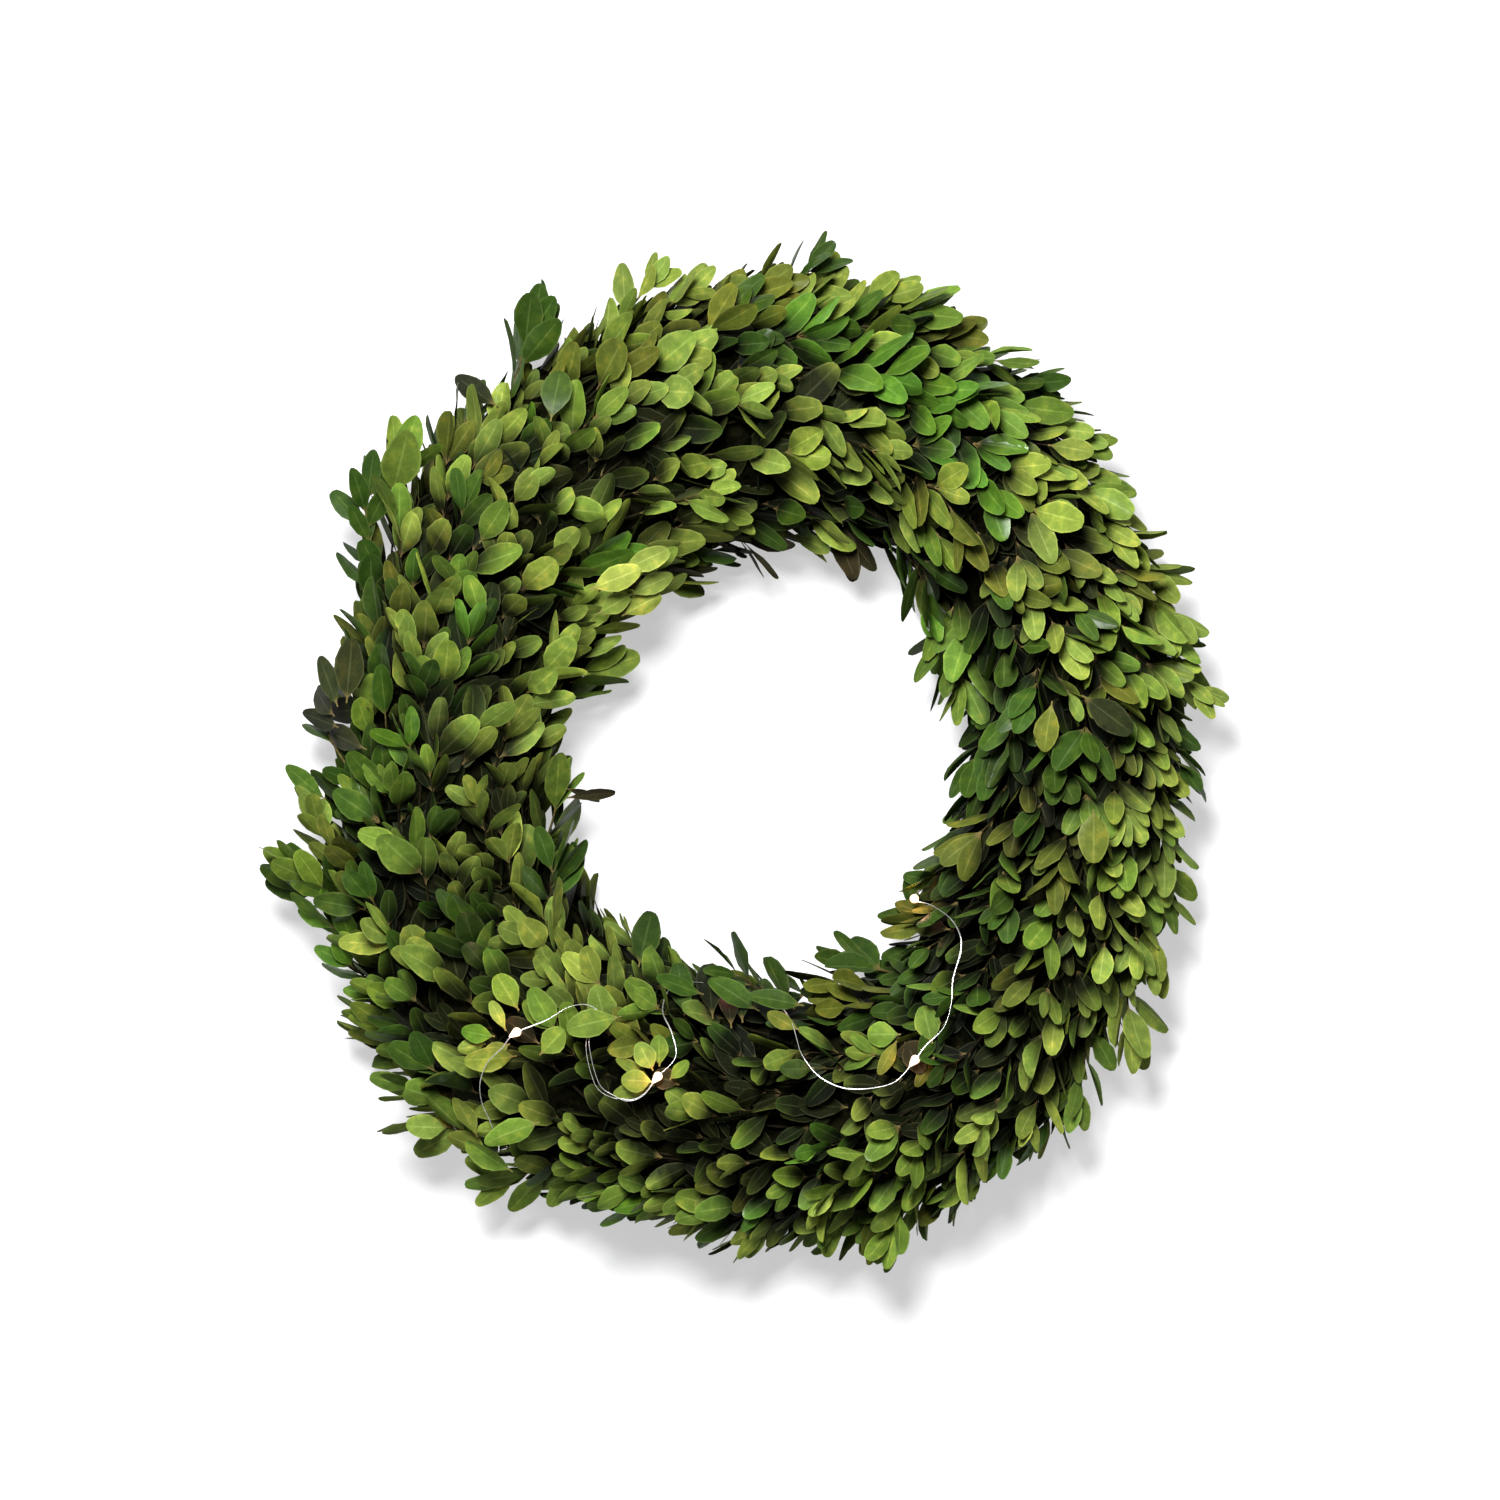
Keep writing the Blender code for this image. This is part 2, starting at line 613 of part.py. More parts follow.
def make_light_wire(line, material, collection):
    mesh = tube_mesh("light_wire", line, LIGHT_WIRE, False, 0, collection)
    return link_object("light_wire", mesh, material, collection)


def led_mesh():
    """A drop of epoxy with the wire's hole through it, turned from its half section."""
    half = LED_LENGTH / 2
    outline = [(LED_RADIUS, half * 0.3), (LED_RADIUS, -half * 0.5), (LED_RADIUS * 0.72, -half),
               (LED_HOLE, -half), (LED_HOLE, half), (LED_RADIUS * 0.6, half)]
    bm = bmesh.new()
    verts = [bm.verts.new((x, 0, z)) for x, z in outline]
    for vert, following in zip(verts, verts[1:] + verts[:1]):
        bm.edges.new((vert, following))
    mesh = bpy.data.meshes.new("led_bead")
    bm.to_mesh(mesh)
    bm.free()
    return mesh


def make_leds(leds, material, collection):
    profile = led_mesh()
    for number, (place, ahead) in enumerate(leds, 1):
        bead = link_object(f"led_bead_{number}", profile, material, collection)
        bead.location = place
        bead.rotation_euler = ahead.to_track_quat("Z", "Y").to_euler()
        turned = bead.modifiers.new("turned", "SCREW")
        turned.steps = 6
        turned.render_steps = 6
        turned.use_merge_vertices = True
        turned.merge_threshold = 0.00001


def cut_away(item, cutter):
    """Cut a solid once, then remove the cutter."""
    cut = item.modifiers.new("cut", "BOOLEAN")
    cut.operation = "DIFFERENCE"
    cut.object = cutter
    bpy.context.view_layer.update()
    shape = item.evaluated_get(bpy.context.evaluated_depsgraph_get())
    mesh = bpy.data.meshes.new_from_object(shape)
    item.modifiers.clear()
    item.data = mesh
    bpy.data.objects.remove(cutter, do_unlink=True)


def box_object(name, size, centre, material, collection):
    """A plain box, placed in the battery box's own axes: along the ring, across it and up."""
    bm = bmesh.new()
    bmesh.ops.create_cube(bm, size=1)
    bmesh.ops.scale(bm, vec=size, verts=bm.verts)
    bmesh.ops.translate(bm, vec=centre, verts=bm.verts)
    return link_object(name, finished_mesh(bm, name), material, collection)


def disc_object(name, radius, depth, centre, material, collection):
    bm = bmesh.new()
    bmesh.ops.create_cone(bm, cap_ends=True, segments=CELL_SIDES, radius1=radius, radius2=radius,
                          depth=depth)
    bmesh.ops.translate(bm, vec=centre, verts=bm.verts)
    return link_object(name, finished_mesh(bm, name), material, collection)


def make_battery_box(materials, collection, scratch):
    """Tray with a round cell pocket and a switch slot, its lid, two cells and the switch."""
    height = BOX_TOP - BOX_FLOOR
    pocket_top = BOX_TOP - BOX_WALL
    pocket_depth = pocket_top - BOX_FLOOR + CUT_THROUGH
    slot_length, slot_width, slot_depth = SWITCH_SLOT
    tray = box_object("battery_box", (BOX_LENGTH, BOX_WIDTH, height), (0, 0, BOX_FLOOR + height / 2),
                      materials["box"], collection)
    pocket = disc_object("pocket", CELL_RADIUS + 2 * FIT_GAP, pocket_depth,
                         (CELL_PLACE, 0, pocket_top - pocket_depth / 2), None, scratch)
    cut_away(tray, pocket)
    slot = box_object("slot", (slot_length, slot_width, slot_depth), (SWITCH_PLACE, 0, BOX_FLOOR),
                      None, scratch)
    cut_away(tray, slot)
    lid = box_object("battery_lid", (LID_LENGTH, BOX_WIDTH, LID_THICKNESS),
                     (CELL_PLACE, 0, BOX_FLOOR - FIT_GAP - LID_THICKNESS / 2),
                     materials["box"], collection)
    cells = []
    for number in (1, 2):
        top = pocket_top - FIT_GAP - (number - 1) * (CELL_THICKNESS + FIT_GAP)
        cells.append(disc_object(f"coin_cell_{number}", CELL_RADIUS, CELL_THICKNESS,
                                 (CELL_PLACE, 0, top - CELL_THICKNESS / 2),
                                 materials["cell"], collection))
    switch_top = BOX_FLOOR + slot_depth / 2 - FIT_GAP
    switch = box_object("slide_switch", (SWITCH_LENGTH, slot_width - 2 * FIT_GAP, SWITCH_HEIGHT),
                        (SWITCH_PLACE + SWITCH_SLID, 0, switch_top - SWITCH_HEIGHT / 2),
                        materials["switch"], collection)
    for item in [tray, lid, switch] + cells:
        item.data.transform(box_matrix())


def centre_on_box(collection):
    """Set all pieces over the middle of their common box, with the lowest of them on z = 0."""
    bpy.context.view_layer.update()
    graph = bpy.context.evaluated_depsgraph_get()
    corners = []
    for item in collection.objects:
        shape = item.evaluated_get(graph)
        corners += [item.matrix_world @ vert.co for vert in shape.to_mesh().vertices]
        shape.to_mesh_clear()
    low = Vector(min(corner[axis] for corner in corners) for axis in range(3))
    high = Vector(max(corner[axis] for corner in corners) for axis in range(3))
    root = bpy.data.objects.new("leaf_wreath_centre", None)
    bpy.context.scene.collection.objects.link(root)
    for item in collection.objects:
        item.parent = root
    root.location = (-(low.x + high.x) / 2, -(low.y + high.y) / 2, -low.z)


def mesh_tree(mesh):
    bm = bmesh.new()
    bm.from_mesh(mesh)
    tree = tree_of(bm)
    bm.free()
    return tree


def led_guard(place, ahead):
    """Space that the leaves leave round an LED."""
    bm = bmesh.new()
    bmesh.ops.create_cone(bm, cap_ends=True, segments=LED_GUARD_SIDES, radius1=LED_RADIUS,
                          radius2=LED_RADIUS, depth=LED_LENGTH)
    turn = ahead.to_track_quat("Z", "Y").to_matrix().to_4x4()
    bmesh.ops.transform(bm, matrix=Matrix.Translation(place) @ turn, verts=bm.verts)
    tree = tree_of(bm)
    bm.free()
    return tree


def light_curtain(line):
    """Upright strip over the light wire's high stretches, so that no leaf covers them."""
    high = CORE_AXIS_HEIGHT + CORE_RISE * LIGHT_IN_SIGHT
    bm = bmesh.new()
    for point, following in zip(line, line[1:]):
        if min(point.z, following.z) > high:
            raised = [Vector((spot.x, spot.y, CORE_AXIS_HEIGHT + 2 * CORE_RISE))
                      for spot in (following, point)]
            bm.faces.new([bm.verts.new(spot) for spot in (point, following, *raised)])
    bmesh.ops.triangulate(bm, faces=bm.faces)
    tree = tree_of(bm)
    bm.free()
    return tree


def main():
    remove_everything()
    collection = bpy.data.collections.new("leaf_wreath")
    scratch = bpy.data.collections.new("cutters")
    for group in (collection, scratch):
        bpy.context.scene.collection.children.link(group)
    materials = make_materials()
    line, leds = light_points()
    make_frame(materials["frame"], collection, scratch)
    binding = make_binding_wire(materials["binding"], collection)
    light = make_light_wire(line, materials["light"], collection)
    make_leds(leds, materials["led"], collection)
    make_battery_box(materials, collection, scratch)
    core_meshes = [core_mesh(bunch * BUNCH_ANGLE) for bunch in range(BUNCHES)]
    cores = [mesh_tree(mesh) for mesh in core_meshes]
    obstacles = list(enumerate(cores))
    obstacles += [(None, mesh_tree(item.data)) for item in (binding, light)]
    obstacles += [(None, led_guard(place, ahead)) for place, ahead in leds]
    obstacles.append((None, light_curtain(line)))
    field = LeafField(obstacles)
    leaves = [[] for bunch in range(BUNCHES)]
    grow_stray_sprigs(field, cores, leaves)
    grow_leaves(field, cores, leaves)
    for bunch in range(BUNCHES):
        fuse_bunch(f"bunch_{bunch + 1:02d}", core_meshes[bunch], leaves[bunch], materials["leaf"],
                   collection, scratch)
    centre_on_box(collection)


main()
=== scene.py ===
"""Dresses the solids of a preserved boxwood wreath: sprigs with real leaves, its wire frame, binding wire,
string of fairy lights and battery box, on a pale studio floor.

The wreath lies on its back: z = 0 is the floor, +Z its front and +Y its top as it hangs. Clock angles are in
degrees and run clockwise from the top, which is the way the leaves point. Round the section of the wreath,
an angle of 0 points away from the wreath's hole, 90 to the front and 180 into the hole.
"""
import itertools
import math
import random
from dataclasses import dataclass

import bmesh
import bpy
import numpy as np
from bpy.props import FloatProperty, FloatVectorProperty, IntProperty, PointerProperty
from mathutils import Matrix, Vector
from mathutils.bvhtree import BVHTree


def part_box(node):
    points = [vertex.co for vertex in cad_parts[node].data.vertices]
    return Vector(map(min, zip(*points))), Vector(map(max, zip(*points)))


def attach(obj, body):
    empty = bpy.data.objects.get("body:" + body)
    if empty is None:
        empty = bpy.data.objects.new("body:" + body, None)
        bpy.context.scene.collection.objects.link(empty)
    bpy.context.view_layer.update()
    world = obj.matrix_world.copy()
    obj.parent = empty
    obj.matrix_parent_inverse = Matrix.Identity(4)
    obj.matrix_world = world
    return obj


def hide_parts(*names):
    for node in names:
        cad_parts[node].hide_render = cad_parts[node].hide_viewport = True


bl_info = {
    "name": "Boxwood Leaf Wreath",
    "version": (1, 0, 0),
    "blender": (4, 5, 0),
    "location": "View3D > Sidebar > Leaf Wreath",
    "description": "Dresses the solids of a preserved boxwood wreath with fairy lights",
    "category": "Add Mesh",
}

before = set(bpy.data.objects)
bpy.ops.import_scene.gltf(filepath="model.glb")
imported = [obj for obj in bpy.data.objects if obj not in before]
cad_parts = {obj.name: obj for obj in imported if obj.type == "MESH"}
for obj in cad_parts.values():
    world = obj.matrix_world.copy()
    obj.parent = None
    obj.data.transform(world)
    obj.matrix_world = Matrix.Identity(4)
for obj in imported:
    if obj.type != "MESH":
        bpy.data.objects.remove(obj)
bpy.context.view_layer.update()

MM = 0.001

# Outline of the foliage, one radius for each hour of the clock from 12, and the stem cores inside it
OUTER_RADII = [radius * MM for radius in (270, 266, 250, 250, 257, 273, 273, 271, 260, 240, 246, 262)]
INNER_RADII = [radius * MM for radius in (104, 121, 110, 106, 110, 124, 115, 101, 98, 94, 78, 91)]
LEAF_LAYER = 18 * MM
BUNCHES = 18
BUNCH_ANGLE = 360 / BUNCHES
# Cores: their axis and their rise over it, how far they shrink at the sides and at the front, the skin over
# their grooves, how uneven they are, and how finely they are made
CORE_AXIS_HEIGHT = 34 * MM
CORE_RISE = 56 * MM
CORE_SHRINKS = (3.5 * MM, 12 * MM)
CORE_SKIN = 1.5 * MM
CORE_ROUGHNESS = 1.6 * MM
CORE_CORNERS = 17
CORE_SECTIONS = 6
# Heights between which the cores' colour goes from painted paler low down to their near-black painted shade,
# as dark as the inside of the foliage
CORE_PAINTED_LIGHT_HEIGHTS = (5 * MM, 24 * MM)
# Groove for the binding wire at the start of a bunch, and channel for the frame along the back
GROOVE_ANGLE = 3.0
GROOVE_SLOPE_ANGLE = 2.0
GROOVE_DEPTH = 6 * MM
GROOVE_BACK_HEIGHT = 7.3 * MM
CHANNEL_HALF_WIDTH = 20 * MM
CHANNEL_DEPTH = 14 * MM
# Cut stems along the back: angles before a core's full section and its end, and where they are counted;
# what they keep from the core's edge and from the channel, and how they lie
STEM_START_ROOM = 1.2
STEM_END_ROOM = 0.4
STEM_COUNT_ANGLE = 6
STEM_INSET = 3 * MM
STEM_CHANNEL_ROOM = 2 * MM
STEM_SPACING = 2.6 * MM
STEM_STEPS = 4
STEM_SWAY = 0.5 * MM

# Wire frame, binding wire and battery box, as they lie in the back of the foliage
FRAME_CENTRE = (7 * MM, -4 * MM)
FRAME_RADIUS = 182 * MM
RAIL_OFFSET = 15 * MM
RAIL_HEIGHT = 9 * MM
RAIL_WIRE = 3.2 * MM
BRACE_WIRE = 2.6 * MM
BRACES = 9
FIRST_BRACE_CLOCK = 10
RAIL_POINTS = 180
BINDING_WIRE = 1.2 * MM
BINDING_CLEARANCE = 0.5 * MM
BINDING_TURN_ANGLES = (0.9, 2.1)
BINDING_CORNERS = 25
BINDING_RUN_STEPS = 8
BINDING_RUN_OFFSET = -18.4 * MM
BOX_CLOCK = 231
BOX_LENGTH = 36 * MM
FIT_GAP = 0.3 * MM
# The solid that each slot's wires stand for
WIRE_NODES = {"frame_wire": "wire_frame", "binding_wire": "binding_wire", "light_wire": "light_wire"}
# Rounded copies of the box's solids: what counts as one point, as flat, as an edge to round and as sharp
MERGE_DISTANCE = 0.02 * MM
FLAT_ANGLE = math.radians(2)
BEVEL_ANGLE = math.radians(50)
BEVEL_SEGMENTS = 3
BOX_SHARP_ANGLE = math.radians(35)

# Light wire, from the battery box to its free end
BOX_WIRE_HEIGHT = 5 * MM
BOX_WIRE_BEND = (6 * MM, 1 * MM, 4.4 * MM)
LIGHT_BACK_HEIGHT = 3.4 * MM
LIGHT_CORNER_ROOM = 2.6 * MM
LIGHT_START_CLOCK = 221.5
LIGHT_END_CLOCK = 121.5
# Its run up the outer side, down into the hole and along the channel at its end: clock angle, angle round
# the section where it has one, and height in millimetres, above the cores or from the floor
LIGHT_UP_SIDE = (
    (LIGHT_START_CLOCK, -18, -2.8), (LIGHT_START_CLOCK, -5, -2.8), (220.5, 12, 4), (217, 22, 12),
)
LIGHT_DOWN_HOLE = ((127.5, 172, 15), (124.5, 184, 8), (121.6, 195, -2.8), (LIGHT_END_CLOCK, 203, -2.8))
LIGHT_TAIL = ((124, 3.4), (129, 5))
# Its run over the front: x and y in millimetres from the middle of the clock, and height above the cores
LIGHT_ON_FRONT = (
    (-136, -213, 15), (-139, -198, 15), (-144, -186, 15), (-145, -175, 15), (-141, -164, 15),
    (-133, -156, 15), (-126, -148, 15), (-109, -141, 15), (-97, -134, 15), (-87, -133, 15),
    (-81, -138, 15), (-86, -148, 15), (-87, -156, 15), (-84, -170, 15), (-79, -179, 15), (-66, -184, 15),
    (-57, -181, 15), (-50, -172, 15), (-40, -161, 15), (-42, -148, 15), (-47, -136, 12), (-42, -124, 6),
    (-27, -122, 5), (-12, -126, 6), (2, -128, 6), (14, -132, 10), (22, -142, 15), (25, -151, 15),
    (28, -160, 15), (38, -172, 15), (54, -178, 15), (76, -175, 15), (88, -163, 15), (94, -155, 15),
    (104, -145, 15), (108, -132, 15), (109, -119, 15), (113, -105, 15), (113, -96, 15), (108, -87, 15),
    (98, -80, 17), (89, -77, 18),
)
# Heights above which it is in sight, and where it sinks between its arcs: two limits of x, and least y
LIGHT_IN_SIGHT = 62 * MM
LIGHT_END_IN_SIGHT = 50 * MM
SUNK_STRETCH = (-48 * MM, 19 * MM, -137 * MM)
# Half the room that leaves keep from it and from an LED, and steps along it for that room, LEDs and strands
LIGHT_SLEEVE = 0.9 * MM
LED_ROOM = 3.2 * MM
ROOM_STEP = 5 * MM
LED_STEP = 2 * MM
STRAND_STEP = 2.5 * MM
# How its two strands wind, in radians from point to point, and where they part
STRAND_TURN = 0.11
STRAND_SWAY = 0.8
STRAND_SWAY_TURN = 0.05
PARTED_STRANDS = (-79 * MM, -167 * MM)
PARTED_REACH = 20 * MM
# LEDs: those in sight, the glow of the others against theirs, and half a bead with its outline, which is
# radii in millimetres and heights as shares of that half
LEDS = 6
SHOWING_BEADS = (2, 3, 5, 6)
LOW_BEAD_SPILL = 0.3
BEAD_HALF = 3.6 * MM
BEAD_PROFILE = (
    (0.4, -1), (0.8, -0.8), (1.4, -0.45), (2.1, 0), (2.5, 0.35), (2.1, 0.7), (1.2, 0.92), (0.5, 1),
)
BEAD_SIDES = 20
BEAD_SHARP_ANGLE = math.radians(50)
BEAD_LIGHT_RADIUS = 2.5 * MM
BEAD_LIGHT_RISE = 3 * MM

# Stage: floor, soft lamp beyond the wreath's top, low lamps round the wreath, and camera
FLOOR_SIZE = 40
FLOOR_HEIGHT = -0.4 * MM
KEY_SIZE = 0.85
KEY_PLACE = (-0.3, 0.95, 2.2)
FILL_LAMPS = 5
FILL_SIZE = 1.2
FILL_CLOCK = 10
FILL_DISTANCE = 2.0
FILL_HEIGHT = 0.45
CAMERA_SHIFT = 3.79 * MM
CAMERA_REACH = 50

# Sprigs that stand out of the outline: clock angle, radius and height of the foremost leaf's tip in
# millimetres, how far it turns outwards from the way that the leaves point, and its tone if it is given
STRAY_SPRIGS = (
    (336.5, 272, 62, 40, "dark"), (351.6, 276, 58, 40, "yellow"), (356.5, 266, 66, 30, None),
    (9.4, 284, 60, 58, "dark"), (5.0, 268, 66, 40, "olive"), (19.5, 274, 55, 46, "yellow"),
    (23.6, 270, 60, 35, "mid"), (28.3, 268, 50, 40, "olive"), (40.2, 268, 55, 45, "dark"),
    (49.0, 258, 60, 30, "yellow"), (68.0, 256, 46, 55, "yellow"), (76.0, 250, 60, 25, "yellow"),
    (85.5, 260, 55, 40, "yellow"), (95.4, 248, 50, 35, "dark"), (113.0, 253, 50, 35, "mid"),
    (121.0, 256, 60, 25, "yellow"), (129.0, 266, 52, 40, "yellow"), (140.0, 266, 55, 30, "mid"),
    (152.3, 267, 60, 30, "bright"), (159.0, 270, 50, 35, "dark"), (165.1, 286, 62, 64, "mid"),
    (167.0, 278, 54, 60, "olive"), (171.9, 268, 58, 60, "mid"), (181.7, 272, 56, 48, "yellow"),
    (186.0, 268, 50, 40, "olive"), (197.7, 266, 60, 45, "bright"), (204.0, 262, 55, 35, "mid"),
    (213.2, 276, 50, 42, "mid"), (219.0, 262, 55, 15, "dark"), (224.8, 279, 56, 38, "yellow"),
    (230.0, 268, 60, 25, "mid"), (241.0, 262, 52, 20, "mid"), (247.0, 258, 50, 30, "bright"),
    (252.5, 258, 58, 30, "bright"), (260.3, 267, 60, 36, "mid"), (256.5, 262, 48, 44, "dark"),
    (266.5, 248, 62, 20, "yellow"), (281.7, 241, 56, 10, "dark"), (309.4, 262, 58, 20, "dark"),
    (313.5, 254, 68, 16, "mid"), (324.5, 250, 50, 20, "dark"), (308.5, 88, 48, -18, "mid"),
    (266.0, 94, 56, -20, "mid"), (212.3, 101, 52, -62, "dark"), (190.0, 112, 50, -50, "olive"),
    (162.7, 108, 48, -30, "dark"), (168.0, 116, 60, -20, "olive"), (140.6, 115, 55, -16, "olive"),
    (73.5, 107, 52, -12, "mid"), (80.0, 110, 62, -8, "mid"), (100.0, 108, 46, -20, "dark"),
    (30.0, 120, 44, -24, "brown"), (7.7, 101, 42, -28, "brown"), (349.0, 96, 42, -20, "brown"),
)
# Their length at the inner side, how far they lie from the front round the section, and their rise
INNER_STRAY_REACH = 0.65
STRAY_TILT = 62
STRAY_RISE = 0.2
# Where the outline lies inside or outside the usual height of the sprigs: clock angle, its spread, side of
# the wreath, and height in millimetres
OUTLINE_TRIMS = (
    (272, 14, 1, -13), (8, 18, 1, -6), (96, 14, 1, -6), (318, 14, -1, -15), (288, 14, -1, -9),
    (222, 9, -1, -8), (52, 9, -1, -5), (122, 14, -1, 6), (335, 12, 1, -3), (80, 25, -1, -4),
    (316, 9, 1, -6), (343, 7, 1, -5), (290, 9, 1, -5), (202, 16, 1, -6), (126, 9, 1, -8),
    (325, 12, 1, -4), (348, 14, -1, -3), (178, 10, -1, 4), (190, 6, 1, -4), (108, 6, 1, -4),
    (330, 6, 1, -6), (247, 9, -1, -5), (154, 8, -1, -5), (92, 7, -1, -5), (244, 6, 1, -4),
)
# Places on the front, in millimetres, where the foliage opens and lets the dark inside show
GAPS = (
    (-5, -133), (-109, -204), (-147, -134), (-96, -180), (-173, -85), (129, -106), (-28, 109), (128, 20),
    (-149, 7), (-197, -67), (-177, 106), (-126, -70), (-43, 136), (76, 103), (132, 77), (18, 150),
    (112, 64), (117, 94),
)
GAP_REACH = 12 * MM

# Leaves of a sprig: distance from its tip, angle round the stem from the side that faces out, spread from
# the stem, and size
SPRIG_PLAN = (
    (0.0 * MM, 10, 10, 0.86), (0.6 * MM, 95, 26, 0.9), (0.6 * MM, -95, 26, 0.9),
    (9 * MM, 30, 30, 1.0), (9 * MM, -150, 24, 0.9), (17 * MM, 85, 40, 1.05), (17 * MM, -85, 40, 1.05),
    (26 * MM, 15, 33, 1.02), (26 * MM, 170, 26, 0.9), (35 * MM, 85, 44, 1.0), (35 * MM, -85, 44, 1.0),
    (45 * MM, 0, 36, 0.95),
)
# Reach of a sprig's tip leaf, and of its side leaves against it
TIP_LEAF_REACH = 24 * MM
SIDE_LEAF_SHARE = 0.78
SIDE_LEAF_SPREAD = 26
# Leaves nearer than this to a sprig's tip are fine ones
FINE_LEAF_REACH = 24 * MM
# Layers between which the painted inner shade of the foliage fades out, and what is left of a twig's colour
# inside under that painted shade
SHADE_LAYERS = (0, 12 * MM)
INNER_TWIG_SHADE = 0.12
# Painted shade low down: heights between which leaves get their full colour, and what is left of it at the
# lower one
LOW_SHADE_HEIGHTS = (8 * MM, 74 * MM)
LOW_SHADE = 0.38
# Lanes of sprigs round the section, and limits of their tips and of their roots
SPRIG_LANES = 13
SIDE_ANGLES = (-19, 199)
LEAST_TIP_RADIUS = 60 * MM
ROOT_ANGLES = (-24, 204)
ROOT_LAYER = -13 * MM
TIP_LAYER = 0.3 * MM
# How far a stem leans out at its root, and how far its leaves turn to the front
ROOT_RISE = 0.3
FACING_RISE = 0.35
STEM_POINTS = 9
TWIG_SIDES = 6
TWIG_TAPER = (0.75, 0.38)
# Middle and spread of a sprig's lean; spreads of its splay, of its tip's layer in millimetres and of how
# far a leaf rolls; and how far the sprigs at the front splay outwards
SPRIG_LEAN = (30, 9)
SPLAY_SPREAD = 23
TIP_SPREAD = 4.5
LEAF_ROLL = 26
FRONT_SPLAY = 10
# Clock angle where the leaves are largest, and their middle size and its swing
LARGE_LEAF_CLOCK = 335
LEAF_SIZES = (1.01, 0.11)
# Limits of the even draws: angles in degrees, the cut stems' slant, height and radius in millimetres, and
# the others as shares of what they change
DRAWS = {
    "lane_place": (-0.34, 0.34), "section_angle": (-6, 6), "root_angle": (-5, 5),
    "sprig_length": (0.85, 1.15), "sprig_size": (0.74, 1.16), "sprig_roll": (-40, 40),
    "leaf_distance": (0.92, 1.1), "leaf_turn": (-14, 14), "leaf_spread": (-6, 6),
    "leaf_facing": (-0.15, 0.2), "leaf_length": (0.88, 1.1), "leaf_width": (0.82, 1.18),
    "leaf_gloss": (0.6, 1.1), "tone_light": (0.7, 1.2), "tone_warmth": (-0.1, 0.08),
    "stem_place": (0.2, 0.8), "stem_slant": (-2.5, 2.5), "stem_height": (1.3, 2.1), "stem_start": (0, 2.5),
    "stem_end": (0, 1.5), "stem_radius": (0.9, 1.25),
}
# How often a leaf's place is drawn again, and how low a leaf may hang
PLACE_TRIES = 6
LOWEST_LEAF = 0.8 * MM

# How the tones of the foliage are spread: clock angle, its spread, angle round the section, its spread,
# tone and weight against the tones that grow everywhere
TONES_EVERYWHERE = {"yellow": 2.6, "mid": 4.2, "dark": 0.8, "olive": 0.6, "brown": 0.02, "bright": 0.22,
                    "pale": 0.04}
TONE_PATCHES = (
    (26, 9, 57, 20, "bright", 70), (36, 8, 95, 16, "bright", 45), (327, 9, 152, 24, "pale", 60),
    (346, 8, 168, 15, "brown", 3), (335, 28, 100, 30, "yellow", 16), (5, 25, 100, 40, "yellow", 10),
    (60, 40, 45, 35, "yellow", 6), (288, 8, 75, 25, "bright", 3), (246, 6, 55, 20, "bright", 3),
    (124, 10, 40, 20, "bright", 2), (210, 13, 140, 32, "yellow", 24), (120, 50, 155, 30, "dark", 22),
    (110, 75, 150, 26, "olive", 5), (175, 25, 88, 36, "mid", 14), (170, 30, 85, 45, "yellow", 3),
    (105, 25, 95, 25, "olive", 4), (152, 16, 145, 38, "dark", 45), (272, 22, 36, 40, "dark", 30),
    (5, 18, 30, 34, "dark", 9), (300, 16, 30, 34, "dark", 12), (90, 20, 100, 30, "dark", 9),
    (250, 30, 110, 40, "mid", 3), (275, 42, 140, 34, "yellow", 18), (60, 30, 95, 25, "yellow", 4),
    (10, 30, 165, 22, "dark", 8), (0, 28, 90, 28, "yellow", 30), (300, 25, 110, 35, "yellow", 5),
    (350, 30, 25, 26, "olive", 12), (293, 24, 32, 28, "olive", 8), (293, 24, 30, 28, "dark", 8),
    (120, 20, 35, 28, "yellow", 30), (240, 22, 142, 32, "dark", 40), (168, 32, 35, 30, "yellow", 6),
    (210, 22, 100, 30, "yellow", 4), (322, 26, 145, 32, "yellow", 14), (50, 28, 148, 32, "dark", 32),
    (90, 20, 100, 30, "olive", 9), (180, 20, 150, 28, "dark", 24), (280, 24, 95, 30, "yellow", 9),
)
# Chance that a leaf shows its glossy upper side, and how glossy that is, for each tone
TONE_FACES = {
    "pale": (0.15, 0.1), "yellow": (0.25, 0.3), "mid": (0.45, 0.6), "bright": (0.85, 1.5),
    "dark": (0.8, 0.8), "olive": (0.4, 0.4), "brown": (0.5, 0.3), "deep": (0.9, 0.2),
}
